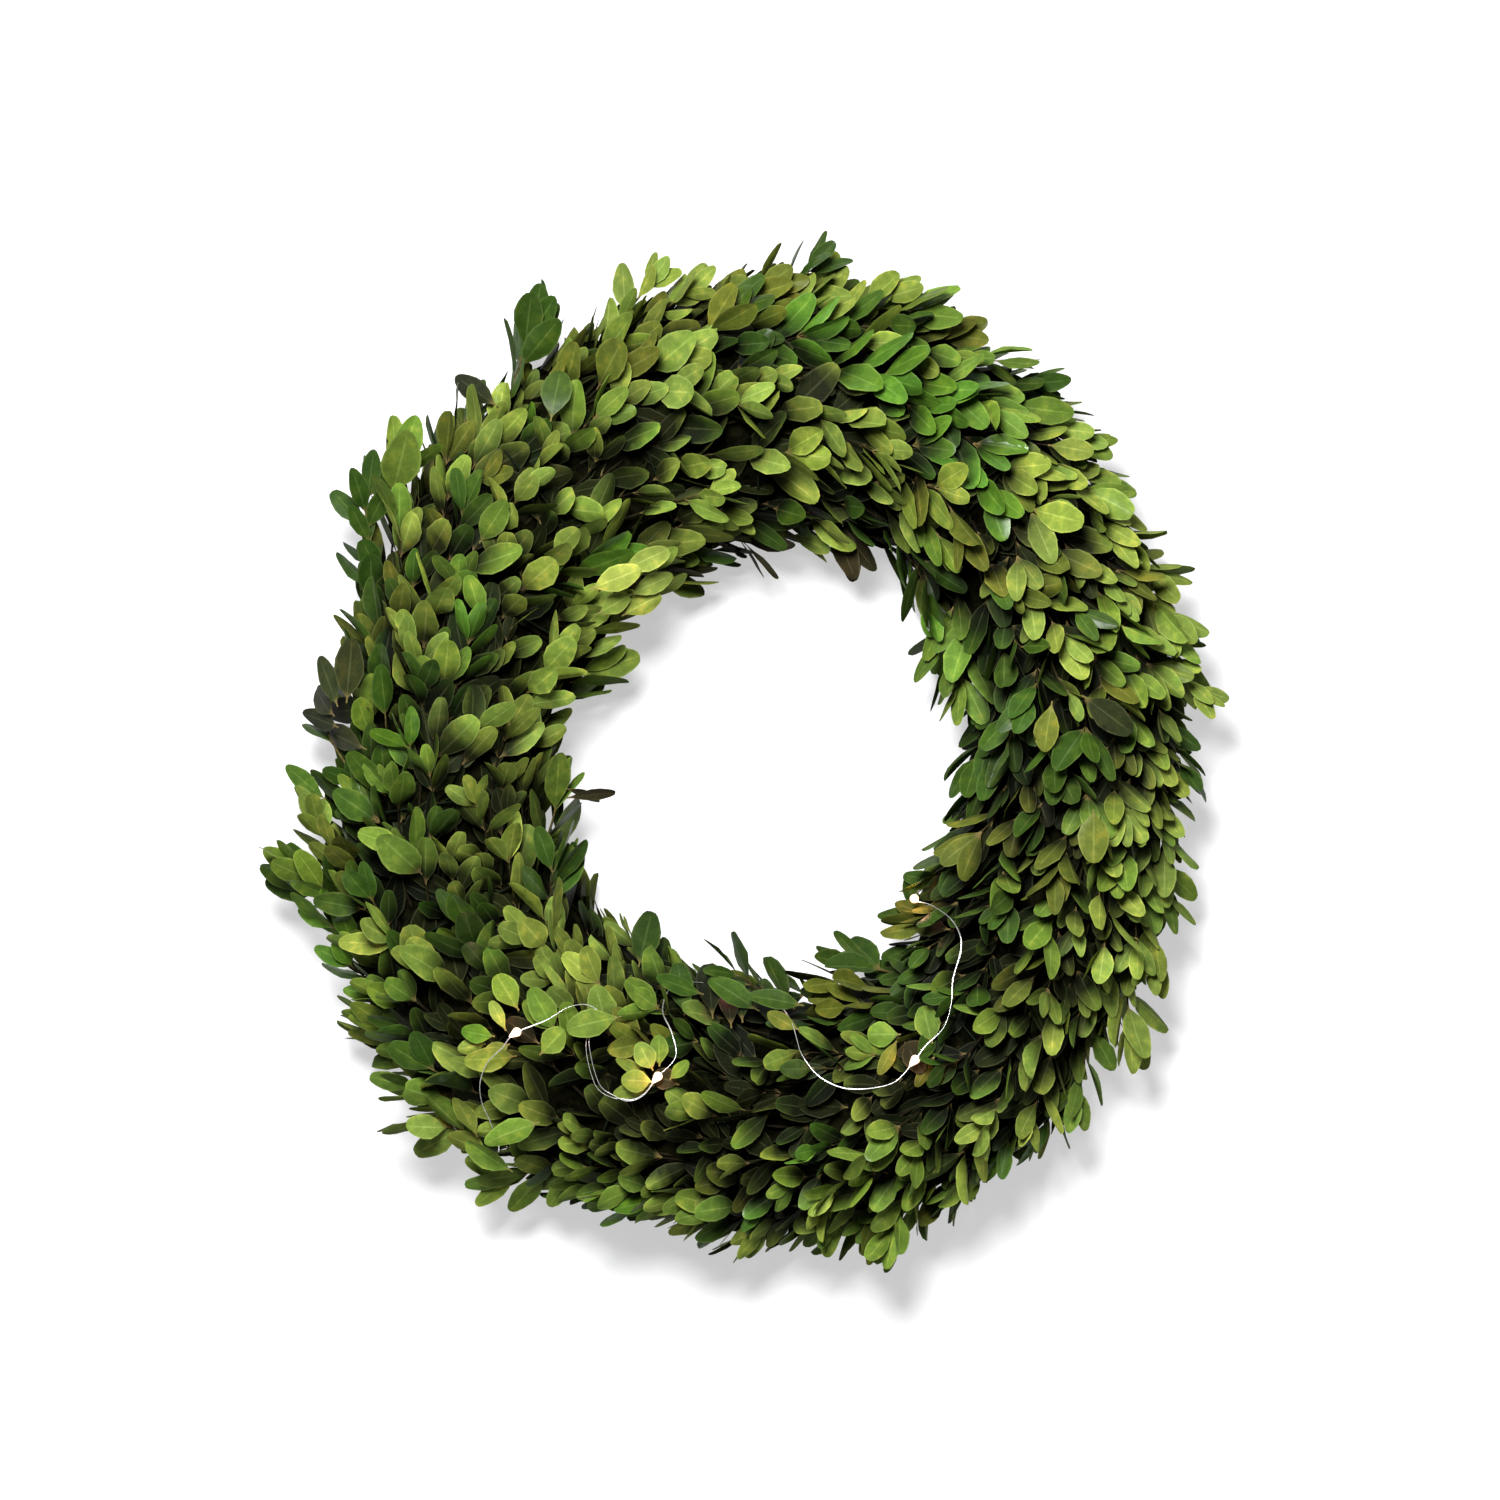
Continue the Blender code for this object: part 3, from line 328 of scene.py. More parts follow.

# Leaves given one by one: x and y of root and tip in millimetres from the middle of the clock, height of
# root and tip above the stem cores, width, tone, and 1 where the upper side shows
CHOSEN_LEAVES = (
    ((-136, 189, 8), (-163, 209, 16), 13, "deep", 1), ((-70, 99, 18), (-44, 113, 24), 13.5, "pale", 0),
    ((-86, 90, 18), (-59, 101, 23), 14, "pale", 0), ((-65, 87, 16), (-42, 99, 21), 12.5, "pale", 0),
    ((-69, 76, 15), (-49, 88, 19), 13.5, "pale", 0), ((-51, 86, 12), (-35, 101, 17), 10, "pale", 0),
    ((-82, 77, 12), (-65, 87, 16), 11, "yellow", 0), ((-55, 100, 13), (-39, 113, 18), 9, "yellow", 1),
    ((-107, 180, 18), (-102, 208, 23), 17, "dark", 1), ((-217, 29, 20), (-213, 64, 24), 18, "deep", 1),
    ((-222, 27, 18), (-232, 54, 20), 12, "deep", 1), ((-224, 22, 15), (-241, 39, 18), 13, "deep", 1),
    ((-222, 16, 12), (-242, 24, 14), 11, "deep", 1), ((-206, 4, 14), (-237, 17, 14), 13, "deep", 1),
    ((-229, -23, 14), (-248, -7, 20), 11, "bright", 0), ((178, 33, 18), (205, 13, 22), 16, "deep", 1),
    ((184, -28, 19), (184, -57, 22), 17, "olive", 1), ((162, 30, 18), (157, 3, 22), 14, "olive", 1),
    ((-52, -174, 14), (-69, -173, 19), 12.5, "yellow", 0),
    ((-52, -168, 14), (-60, -153, 20), 12, "yellow", 0),
    ((-48.5, -166, 14), (-49, -149, 20), 10, "mid", 1), ((-69, -139, 18), (-98, -145, 20), 16, "mid", 0),
    ((-99, -22, 22), (-75, -19, 26), 6, "brown", 1), ((-99, -17, 20), (-82, -24, 22), 5, "brown", 1),
    ((-60, -113, 8), (-54, -86, 14), 16, "dark", 1), ((-35, -139, 8), (-39, -112, 13), 14, "dark", 1),
    ((-20, -141, 8), (-23, -111, 14), 15, "deep", 1), ((-25, -128, 10), (-51, -119, 16), 12, "dark", 1),
    ((-4, -143, 8), (-7, -118, 12), 13, "dark", 0), ((12, -146, 8), (5, -118, 12), 13, "dark", 1),
    ((29, -134, 14), (-1, -128, 19), 12, "dark", 1), ((27, -147, 13), (9, -138, 19), 9, "olive", 0),
    ((-113, -196, 16), (-142, -206, 20), 14, "mid", 0),
    ((-128, -224, 14), (-153, -207, 18), 14, "mid", 1), ((-10, -146, 9), (-13, -116, 13), 12, "deep", 1),
    ((-153, -203, 10), (-174, -183, 16), 13, "mid", 0),
    ((-147, -205, 12), (-158, -182, 17), 12, "yellow", 0),
    ((-141, -215, 12), (-163, -203, 17), 12, "olive", 0), ((-43, -173, 15), (-33, -163, 18), 7, "mid", 1),
    ((-38, -176, 8), (-52, -170, 10), 12, "brown", 1), ((-113, -154, 5), (-131, -142, 9), 13, "brown", 0),
    ((-137, -150, 10), (-155, -147, 14), 10.5, "bright", 1),
    ((-142, -154, 8), (-157, -157, 12), 9, "yellow", 0),
    ((-129, -154, 6), (-144, -162, 8), 10, "yellow", 0), ((-113, -160, 8), (-99, -146, 12), 14, "mid", 0),
    ((-124, -136, 10), (-136, -117, 15), 14, "mid", 0),
    ((-131, -147, 8), (-139, -131, 12), 7, "yellow", 0), ((79, -152, 9), (69, -170, 12), 7.5, "olive", 0),
    ((99, -161, 6), (89, -177, 8), 6.5, "olive", 0), ((81, -149, 9), (63, -149, 13), 14, "mid", 0),
    ((98, -154, 8), (93, -134, 11), 14, "mid", 0), ((83, -153, 4), (93, -170, 7), 12, "brown", 1),
    ((76, -160, 3), (98, -156, 5), 11, "brown", 0), ((101, -87, 3), (80, -80, 16), 11, "olive", 0),
    ((96, -86, 1), (69, -85, 10), 12, "dark", 0), ((91, -85, 4), (84, -65, 16), 9, "dark", 1),
    ((106, -68, 4), (83, -64, 12), 10, "dark", 0), ((113, -62, 5), (91, -76, 12), 13, "mid", 0),
    ((108, -93, 5), (90, -91, 9), 12, "olive", 0), ((5, -137, 8), (-22, -119, 14), 15, "dark", 1),
    ((73, -128, 1), (45, -124, 8), 13, "deep", 1), ((68, -137, 2), (40, -131, 6), 13, "deep", 1),
    ((84, -112, 2), (62, -117, 8), 12, "dark", 1), ((-205, 27, 7), (-232, 23, 8), 15, "deep", 1),
)
CHOSEN_GLOSS = 0.4

# A leaf's rings along its length, and its ring: place across it from edge to edge and the side it bulges to
FINE_RINGS = (0.0, 0.08, 0.16, 0.3, 0.48, 0.66, 0.82, 0.925, 0.98)
FINE_ACROSS = ((-1, 0), (-0.5, 0.6), (0, 1), (0.5, 0.6), (1, 0), (0, -1))
PLAIN_RINGS = (0.0, 0.1, 0.3, 0.58, 0.84, 0.965)
PLAIN_ACROSS = ((-1, 0), (0, 1), (1, 0), (0, -1))
PROXY_RINGS = (0.16, 0.45, 0.78)
SHARP_EDGE = math.radians(70)
# Numbers that shape a leaf, and the limits between which they are drawn, in this order
LEAF_SHAPES = {"fold": (-0.15, 0.44), "cup": (-0.3, 0.26), "curl": (-0.16, 0.1), "twist": (-0.35, 0.35),
               "wave": (0.0, 0.09), "widest": (0.9, 1.2), "tip": (0.34, 0.52)}
LEAF_NUMBERS = ("length", "width", "number", *LEAF_SHAPES)
# A blade's stalk, how slowly it widens from it, and its ripples
STALK_SHARE = 0.08
STALK_HALF_WIDTH = 0.45 * MM
LEAF_BASE = 1.12
RIPPLES = 1.6

# A bunch's materials, in the order that grow_bunches makes them
LEAF_SLOT, TWIG_SLOT, STEM_SLOT, CORE_SLOT = range(4)
BAKE_MAP = "OFBake"
MAP_MARGIN = 0.06
SPARE_CELLS = 40

EFFECT_OUTPUTS = (("Color", "NodeSocketColor"), ("Roughness", "NodeSocketFloat"),
                  ("Height", "NodeSocketFloat"))


def spline_value(before, start, end, after, part):
    """Value of the smooth curve through four values, between the middle two."""
    bend = 2 * before - 5 * start + 4 * end - after + part * (3 * (start - end) + after - before)
    return start + 0.5 * part * (end - before + part * bend)


def hour_value(hours, clock):
    """Smooth closed curve through one value for each hour."""
    place = clock / 30 % 12
    hour = int(place)
    return spline_value(*(hours[(hour + step) % 12] for step in (-1, 0, 1, 2)), place - hour)


def clock_middle():
    """Where the middle of the clock lies, from the frame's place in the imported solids."""
    low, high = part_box("wire_frame")
    return Vector(((low.x + high.x) / 2 - FRAME_CENTRE[0], (low.y + high.y) / 2 - FRAME_CENTRE[1], 0))


MIDDLE = clock_middle()


def ring_point(clock, radius, height):
    turn = math.radians(clock)
    return MIDDLE + Vector((radius * math.sin(turn), radius * math.cos(turn), height))


def core_shape(clock):
    """Middle radius of the stem core at a clock angle, and half its width."""
    outer = hour_value(OUTER_RADII, clock)
    inner = hour_value(INNER_RADII, clock)
    return (outer + inner) / 2, (outer - inner) / 2 - LEAF_LAYER


def layer_point(clock, angle, layer=0.0):
    """Point at a height above the stem core's round side."""
    middle, half = core_shape(clock)
    turn = math.radians(angle)
    radius = middle + (half + layer) * math.cos(turn)
    return ring_point(clock, radius, CORE_AXIS_HEIGHT + (CORE_RISE + layer) * math.sin(turn))


def layers_of(points):
    """Rough heights of many points above the stem cores, as an array."""
    x, y = points[..., 0] - MIDDLE.x, points[..., 1] - MIDDLE.y
    clocks = np.degrees(np.arctan2(x, y)) % 360
    shapes = np.array([core_shape(clock) for clock in range(361)])
    middle = np.interp(clocks, range(361), shapes[:, 0])
    half = np.interp(clocks, range(361), shapes[:, 1])
    out, up = np.hypot(x, y) - middle, points[..., 2] - CORE_AXIS_HEIGHT
    share = np.maximum(np.hypot(out / half, up / CORE_RISE), 0.01)
    return (share - 1) * np.hypot(out, up) / share - trim_height(clocks, out / half / share)


def clock_and_angle(x, y, layer):
    """Clock angle and angle round the section of a place on the front, from millimetres."""
    clock = math.degrees(math.atan2(x, y)) % 360
    middle, half = core_shape(clock)
    cosine = (math.hypot(x, y) * MM - middle) / (half + layer * MM)
    return clock, math.degrees(math.acos(max(-1, min(1, cosine))))


def front_point(x, y, layer):
    """Point of the front at x and y millimetres, at a height above the stem core."""
    clock, angle = clock_and_angle(x, y, layer)
    return MIDDLE + Vector((x * MM, y * MM, layer_point(clock, angle, layer * MM).z))


def frame_distance(clock):
    """Radius of the frame's middle line at a clock angle, since the frame's centre is set off."""
    turn = math.radians(clock)
    along = FRAME_CENTRE[0] * math.sin(turn) + FRAME_CENTRE[1] * math.cos(turn)
    offset = FRAME_CENTRE[0] ** 2 + FRAME_CENTRE[1] ** 2
    return along + math.sqrt(along ** 2 - offset + FRAME_RADIUS ** 2)


def ring_axes(clock):
    """The ways clockwise along the ring and outwards from its middle."""
    turn = math.radians(clock)
    return Vector((math.cos(turn), -math.sin(turn), 0)), Vector((math.sin(turn), math.cos(turn), 0))


def surface_axes(clock, angle):
    """Normal of the foliage, the way the leaves point, and the way outwards across them."""
    beside = layer_point(clock, angle + 1) - layer_point(clock, angle - 1)
    flow, outward = ring_axes(clock)
    normal = flow.cross(beside).normalized()
    if normal.dot(layer_point(clock, angle, LEAF_LAYER) - layer_point(clock, angle)) < 0:
        normal.negate()
    return normal, flow, outward - normal * outward.dot(normal)


def smooth_point(points, index, part):
    """Point of the smooth curve through a list of points, between one of them and the next."""
    last = len(points) - 1
    return spline_value(*(points[max(0, min(last, index + step))] for step in (-1, 0, 1, 2)), part)


def dip_angle(height, depth):
    """How far below the cores' axis a layer at a depth in them reaches a height, round the section."""
    return math.asin((CORE_AXIS_HEIGHT - height) / (CORE_RISE - depth))


def link(item):
    bpy.context.scene.collection.objects.link(item)
    return item


def finish_piece(piece, node):
    """Let a piece ride on the wreath's body and stand for its solid."""
    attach(piece, "root")
    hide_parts(node)


# Shader nodes


def feed(tree, node, inputs):
    """Give a node's sockets their values or links."""
    for socket, value in inputs.items():
        if isinstance(value, bpy.types.NodeSocket):
            tree.links.new(value, node.inputs[socket])
        else:
            node.inputs[socket].default_value = value


def add_node(tree, kind, inputs=None, **settings):
    """Make a shader node, set what is named, and feed its sockets."""
    node = tree.nodes.new(kind)
    for name, value in settings.items():
        setattr(node, name, value)
    feed(tree, node, inputs or {})
    return node


def mix_colour(tree, factor, first, second, blend="MIX"):
    inputs = {0: factor, 6: first, 7: second}
    return add_node(tree, "ShaderNodeMix", inputs, data_type="RGBA", blend_type=blend).outputs[2]


def tinted(tree, first, second):
    return mix_colour(tree, 1.0, first, second, "MULTIPLY")


def calculate(tree, operation, first, second=0.0, clamp=False):
    node = add_node(tree, "ShaderNodeMath", {0: first, 1: second}, operation=operation, use_clamp=clamp)
    return node.outputs[0]


def product(tree, first, second):
    return calculate(tree, "MULTIPLY", first, second)


def object_place(tree):
    return add_node(tree, "ShaderNodeTexCoord").outputs["Object"]


def attribute_value(tree, name, output="Fac"):
    return add_node(tree, "ShaderNodeAttribute", attribute_name=name).outputs[output]


def ramp_between(tree, value, low, high, at_low=0.0, at_high=1.0):
    """Smooth step of a value from one level to another."""
    node = add_node(tree, "ShaderNodeMapRange", {
        "Value": value, "From Min": low, "From Max": high, "To Min": at_low, "To Max": at_high,
    }, interpolation_type="SMOOTHSTEP")
    return node.outputs[0]


def noise_value(tree, vector, scale, detail=2.0, roughness=0.5):
    node = add_node(tree, "ShaderNodeTexNoise", {
        "Vector": vector, "Scale": scale, "Detail": detail, "Roughness": roughness,
    })
    return node.outputs["Fac"]


def new_group(name, inputs, outputs):
    """Empty node group with named sockets, and its input and output nodes."""
    tree = bpy.data.node_groups.new(name, "ShaderNodeTree")
    for label, kind, default in inputs:
        socket = tree.interface.new_socket(label, in_out="INPUT", socket_type=kind)
        if default is not None:
            socket.default_value = default
    for label, kind in outputs:
        tree.interface.new_socket(label, in_out="OUTPUT", socket_type=kind)
    return tree, tree.nodes.new("NodeGroupInput").outputs, tree.nodes.new("NodeGroupOutput")


def leaf_blade_group():
    """Colour, roughness and relief of a leaf from its tint, which carries its painted shade, and from the
    place on its blade.
    """
    tree, given, made = new_group("leaf_blade", [
        ("Tint", "NodeSocketColor", (0.2, 0.3, 0.05, 1)),
        ("Place", "NodeSocketVector", None),
        ("Underside", "NodeSocketFloat", 0.0),
        ("Gloss", "NodeSocketFloat", 0.5),
    ], [*EFFECT_OUTPUTS, ("Wax", "NodeSocketFloat")])
    along, across, number = add_node(tree, "ShaderNodeSeparateXYZ", {0: given["Place"]}).outputs
    aside = calculate(tree, "ABSOLUTE", across)
    rib = product(tree, ramp_between(tree, aside, 0.015, 0.11, 1.0, 0.0),
                  ramp_between(tree, along, 0.75, 1.0, 1.0, 0.15))
    stalk = ramp_between(tree, along, 0.05, 0.2, 1.0, 0.0)
    slant = calculate(tree, "SUBTRACT", product(tree, along, 11.0), product(tree, aside, 2.6))
    wave = calculate(tree, "ABSOLUTE", calculate(tree, "SUBTRACT", calculate(tree, "FRACT", slant), 0.5))
    vein = ramp_between(tree, wave, 0.0, 0.12, 1.0, 0.0)
    rim = ramp_between(tree, aside, 0.82, 0.95)
    shift = add_node(tree, "ShaderNodeCombineXYZ", {0: number, 1: number}).outputs[0]
    spot = add_node(tree, "ShaderNodeVectorMath", {0: object_place(tree), 1: shift}).outputs[0]
    blotch = noise_value(tree, spot, 150.0, 3.0, 0.6)
    grain = noise_value(tree, spot, 1300.0, 2.0)
    level = ramp_between(tree, blotch, 0.3, 0.72, 0.8, 1.18)
    shade = add_node(tree, "ShaderNodeCombineColor", {0: level, 1: level, 2: level}).outputs[0]
    plain = tinted(tree, given["Tint"], shade)
    warm = mix_colour(tree, product(tree, ramp_between(tree, blotch, 0.5, 0.75), 0.7), plain,
                      tinted(tree, plain, (1.6, 1.15, 1.1, 1)))
    pale = mix_colour(tree, 0.1, tinted(tree, warm, (2.1, 1.85, 2.4, 1)), (0.42, 0.45, 0.2, 1))
    colour = warm
    for mask, strength in ((vein, 0.09), (rim, 0.42), (rib, 0.46)):
        colour = mix_colour(tree, product(tree, mask, strength), colour, pale)
    colour = mix_colour(tree, product(tree, stalk, 0.7), colour, (0.2, 0.15, 0.05, 1))
    colour = mix_colour(tree, given["Underside"], colour, tinted(tree, colour, (1.06, 1.0, 1.15, 1)))
    shine = product(tree, given["Gloss"], calculate(tree, "SUBTRACT", 1.0, given["Underside"]))
    rough = calculate(tree, "SUBTRACT", 0.72, product(tree, shine, 0.3))
    uneven = product(tree, calculate(tree, "SUBTRACT", grain, 0.5), 0.16)
    relief = calculate(tree, "ADD", product(tree, rib, -0.5), product(tree, vein, -0.16))
    relief = product(tree, relief, calculate(tree, "SUBTRACT", 1.0, product(tree, given["Underside"], 1.7)))
    relief = calculate(tree, "ADD", relief, product(tree, grain, 0.12))
    feed(tree, made, {
        "Color": colour,
        "Roughness": calculate(tree, "ADD", rough, uneven, clamp=True),
        "Height": calculate(tree, "ADD", relief, product(tree, blotch, 0.5)),
        "Wax": product(tree, shine, ramp_between(tree, blotch, 0.25, 0.6, 0.08, 0.26)),
    })
    return tree


def wood_streak_group():
    """Streaks, knots and relief of bark, for twigs and for the bound stems."""
    tree, given, made = new_group("bark_streak", [
        ("Dark", "NodeSocketColor", (0.02, 0.015, 0.008, 1)),
        ("Light", "NodeSocketColor", (0.12, 0.09, 0.04, 1)),
        ("Scale", "NodeSocketFloat", 400.0),
    ], EFFECT_OUTPUTS)
    spot = object_place(tree)
    broad = noise_value(tree, spot, 90.0, 3.0, 0.6)
    fine = noise_value(tree, spot, given["Scale"], 3.0)
    streak = calculate(tree, "ADD", product(tree, broad, 0.6), product(tree, fine, 0.4))
    blend = ramp_between(tree, streak, 0.36, 0.66)
    feed(tree, made, {
        "Color": mix_colour(tree, blend, given["Dark"], given["Light"]),
        "Roughness": ramp_between(tree, broad, 0.3, 0.7, 0.75, 0.92),
        "Height": fine,
    })
    return tree


def handled_surface_group():
    """Fine grain with rubbed and dusty patches, for lacquer, coated wire, plastic and steel."""
    tree, given, made = new_group("handled_surface", [
        ("Base", "NodeSocketColor", (0.1, 0.1, 0.1, 1)),
        ("Rubbed", "NodeSocketColor", (0.3, 0.3, 0.3, 1)),
        ("Amount", "NodeSocketFloat", 0.3),
        ("Roughness", "NodeSocketFloat", 0.4),
    ], EFFECT_OUTPUTS)
    spot = object_place(tree)
    patch = ramp_between(tree, noise_value(tree, spot, 260.0, 4.0, 0.65), 0.45, 0.7)
    grain = noise_value(tree, spot, 2500.0, 2.0)
    rough = calculate(tree, "ADD", given["Roughness"], product(tree, patch, 0.15))
    uneven = product(tree, calculate(tree, "SUBTRACT", grain, 0.5), 0.12)
    feed(tree, made, {
        "Color": mix_colour(tree, product(tree, patch, given["Amount"]), given["Base"], given["Rubbed"]),
        "Roughness": calculate(tree, "ADD", rough, uneven, clamp=True),
        "Height": grain,
    })
    return tree


def shared_group(name, build):
    """A node group by its name, built the first time that a material asks for it."""
    return bpy.data.node_groups.get(name) or build()


def start_material(name):
    material = bpy.data.materials.new(name)
    material.use_nodes = True
    return material, material.node_tree, material.node_tree.nodes["Principled BSDF"]


def add_effect(tree, shader, group, inputs, strength, depth):
    """Put a shared group into a material and feed its colour, roughness and relief to the shader."""
    effect = add_node(tree, "ShaderNodeGroup", inputs, node_tree=group).outputs
    bump = add_node(tree, "ShaderNodeBump", {
        "Strength": strength, "Distance": depth, "Height": effect["Height"],
    })
    feed(tree, shader, {
        "Base Color": effect["Color"], "Roughness": effect["Roughness"], "Normal": bump.outputs["Normal"],
    })
    return effect


def leaf_material():
    material, tree, shader = start_material("boxwood_leaf")
    effect = add_effect(tree, shader, shared_group("leaf_blade", leaf_blade_group), {
        "Tint": attribute_value(tree, "leaf_tint", "Color"),
        "Place": attribute_value(tree, "leaf_place", "Vector"),
        "Underside": attribute_value(tree, "leaf_underside"),
        "Gloss": attribute_value(tree, "leaf_gloss"),
    }, strength=0.35, depth=0.4 * MM)
    feed(tree, shader, {"Coat Weight": effect["Wax"], "Coat Roughness": 0.24, "Specular IOR Level": 0.1})
    return material


def bark_material(name, dark, light, scale, shaded=False, sheen=0.1, painted_low_light=None):
    """Bark; where shaded is set, the painted shade that the twigs carry in their tint darkens it towards the
    inside of the foliage.
    Low down it is painted paler by the low gain, painted light where little light reaches."""
    material, tree, shader = start_material(name)
    colours = {"Dark": (*dark, 1), "Light": (*light, 1), "Scale": scale}
    group = shared_group("bark_streak", wood_streak_group)
    colour = add_effect(tree, shader, group, colours, strength=0.5, depth=0.3 * MM)["Color"]
    if shaded:
        feed(tree, shader, {"Base Color": tinted(tree, colour, attribute_value(tree, "leaf_tint", "Color"))})
    # Painted light: paler low down, where little light reaches the cores
    if painted_low_light:
        low, high = CORE_PAINTED_LIGHT_HEIGHTS
        place = add_node(tree, "ShaderNodeNewGeometry").outputs["Position"]
        height = add_node(tree, "ShaderNodeSeparateXYZ", {0: place}).outputs["Z"]
        share = add_node(tree, "ShaderNodeMapRange", {"Value": height, "From Min": high, "From Max": low})
        paler = tinted(tree, colour, (*painted_low_light, 1))
        feed(tree, shader, {"Base Color": mix_colour(tree, share.outputs[0], colour, paler)})
    feed(tree, shader, {"Specular IOR Level": sheen})
    return material


def handled_material(name, base, rubbed, amount, roughness, metallic=0.0, sheen=0.5):
    material, tree, shader = start_material(name)
    values = {"Base": (*base, 1), "Rubbed": (*rubbed, 1), "Amount": amount, "Roughness": roughness}
    group = shared_group("handled_surface", handled_surface_group)
    add_effect(tree, shader, group, values, strength=0.2, depth=0.1 * MM)
    feed(tree, shader, {"Metallic": metallic, "Specular IOR Level": sheen})
    return material


def glow_material(settings):
    """Clear epoxy lit from inside, warmer towards its edges."""
    material, tree, shader = start_material("glowing_epoxy")
    edge = add_node(tree, "ShaderNodeLayerWeight", {"Blend": 0.35}).outputs["Facing"]
    feed(tree, shader, {
        "Emission Color": mix_colour(tree, edge, (1.0, 0.86, 0.62, 1), (*settings.glow_colour, 1)),
        "Base Color": (0.95, 0.85, 0.7, 1),
        "Emission Strength": settings.glow_strength,
        "Roughness": 0.12,
    })
    return material


# Meshes from arrays


def fill(items, key, values, kind=np.float32):
    items.foreach_set(key, values.astype(kind).ravel())


class MeshBuilder:
    """Gathers triangles with their materials, bake map and leaf values, and makes one mesh of them."""

    def __init__(self):
        self.parts = []
        self.count = 0

    def add(self, verts, triangles, material, bake_map, places=None, tints_and_painted_shade=None, glosses=None, under=None):
        """Add vertices and triangles; bake_map has a place on the map for each triangle's corners."""
        amount = len(verts)
        self.parts.append((
            verts, triangles + self.count, np.full(len(triangles), material), bake_map,
            np.zeros((amount, 3)) if places is None else places,
            np.zeros((amount, 4)) if tints_and_painted_shade is None else tints_and_painted_shade,
            np.zeros(amount) if glosses is None else glosses,
            np.zeros(len(triangles)) if under is None else under,
        ))
        self.count += amount

    def mesh(self, name, materials):
        columns = [np.concatenate(column) for column in zip(*self.parts)]
        verts, triangles, material_numbers, maps, places, tints_and_painted_shade, glosses, undersides = columns
        mesh = bpy.data.meshes.new(name)
        mesh.vertices.add(len(verts))
        fill(mesh.vertices, "co", verts)
        mesh.loops.add(triangles.size)
        fill(mesh.loops, "vertex_index", triangles, np.int32)
        mesh.polygons.add(len(triangles))
        fill(mesh.polygons, "loop_start", np.arange(0, triangles.size, 3), np.int32)
        fill(mesh.polygons, "material_index", material_numbers, np.int32)
        for label, kind, domain, key, values in (
            ("leaf_place", "FLOAT_VECTOR", "POINT", "vector", places),
            ("leaf_tint", "FLOAT_COLOR", "POINT", "color", tints_and_painted_shade),
            ("leaf_gloss", "FLOAT", "POINT", "value", glosses),
            ("leaf_underside", "FLOAT", "FACE", "value", undersides),
        ):
            fill(mesh.attributes.new(label, kind, domain).data, key, values)
        fill(mesh.uv_layers.new(name=BAKE_MAP).uv, "vector", maps)
        mesh.update(calc_edges=True)
        for material in materials:
            mesh.materials.append(material)
        mesh.shade_smooth()
        mesh.set_sharp_from_angle(angle=SHARP_EDGE)
        return mesh


def blade_template(rings, across):
    """Places on a leaf's skin and its triangles: rings of points along it and one point at its tip."""
    ring_size = len(across)
    top = ring_size // 2 if ring_size == 4 else ring_size - 2
    points = [(along, side, bulge) for along in rings for side, bulge in across] + [(1.0, 0, 0)]
    triangles = []
    under = []
    tip = len(points) - 1
    for k in range(1, ring_size - 1):
        triangles.append((0, k, k + 1))
        under.append(0)
    for ring in range(len(rings)):
        for k in range(ring_size):
            here = ring * ring_size + k
            beside = ring * ring_size + (k + 1) % ring_size
            if ring == len(rings) - 1:
                triangles.append((here, tip, beside))
                under.append(int(k >= top))
            else:
                ahead, ahead_beside = here + ring_size, beside + ring_size
                triangles += [(here, ahead, ahead_beside), (here, ahead_beside, beside)]
                under += [int(k >= top)] * 2
    points = np.array(points, float)
    triangles = np.array(triangles)
    corners = np.stack([points[triangles, 0], (points[triangles, 1] + 1) / 2], axis=-1)
    return points, triangles, np.array(under, float), corners


FINE_LEAF = blade_template(FINE_RINGS, FINE_ACROSS)
PLAIN_LEAF = blade_template(PLAIN_RINGS, PLAIN_ACROSS)
PROXY_LEAF = blade_template(PROXY_RINGS, ((-1, 0), (0, 0), (1, 0)))


class Leaf:
    """One leaf: where its stalk starts, its axes, and the numbers that shape it. Its tint, gloss and bunch
    are set where it grows."""

    def __init__(self, root, ahead, up, length, width, rng):
        self.root = root
        self.ahead = ahead
        self.up = up
        self.length = length
        self.width = width
        for name, limits in LEAF_SHAPES.items():
            setattr(self, name, rng.uniform(*limits))
        self.number = rng.random()
        self.fine = True


def leaf_points(points, leaves, thickness):
    """World places of a template's points on each of the leaves, as an array."""
    column = {key: np.array([getattr(leaf, key) for leaf in leaves])[:, None] for key in LEAF_NUMBERS}
    along, side, bulge = (points[None, :, axis] for axis in range(3))
    blade = np.clip((along - STALK_SHARE) / (1 - STALK_SHARE), 0, 1)
    swell = np.sin(np.pi * np.clip(blade ** column["widest"], 0, 1))
    swell = np.clip(swell, 0, 1) ** (LEAF_BASE + (column["tip"] - LEAF_BASE) * blade)
    half = column["width"] / 2 * swell
    y = side * (half + STALK_HALF_WIDTH * (1 - blade))
    z = half * (column["fold"] * np.abs(side) + column["cup"] * side ** 2)
    z = z + column["curl"] * column["length"] * along ** 2
    ripple = np.sin(2 * np.pi * (RIPPLES * along + column["number"]) + side)
    z = z + column["wave"] * half * ripple * np.abs(side)
    z = z + bulge * thickness * (0.45 + 0.55 * (1 - blade))
    turn = column["twist"] * along
    y, z = y * np.cos(turn) - z * np.sin(turn), y * np.sin(turn) + z * np.cos(turn)
    x = along * column["length"]
    ahead = np.array([leaf.ahead for leaf in leaves])[:, None, :]
    up = np.array([leaf.up for leaf in leaves])[:, None, :]
    left = np.cross(up, ahead)
    root = np.array([leaf.root for leaf in leaves])[:, None, :]
    return root + ahead * x[..., None] + left * y[..., None] + up * z[..., None]


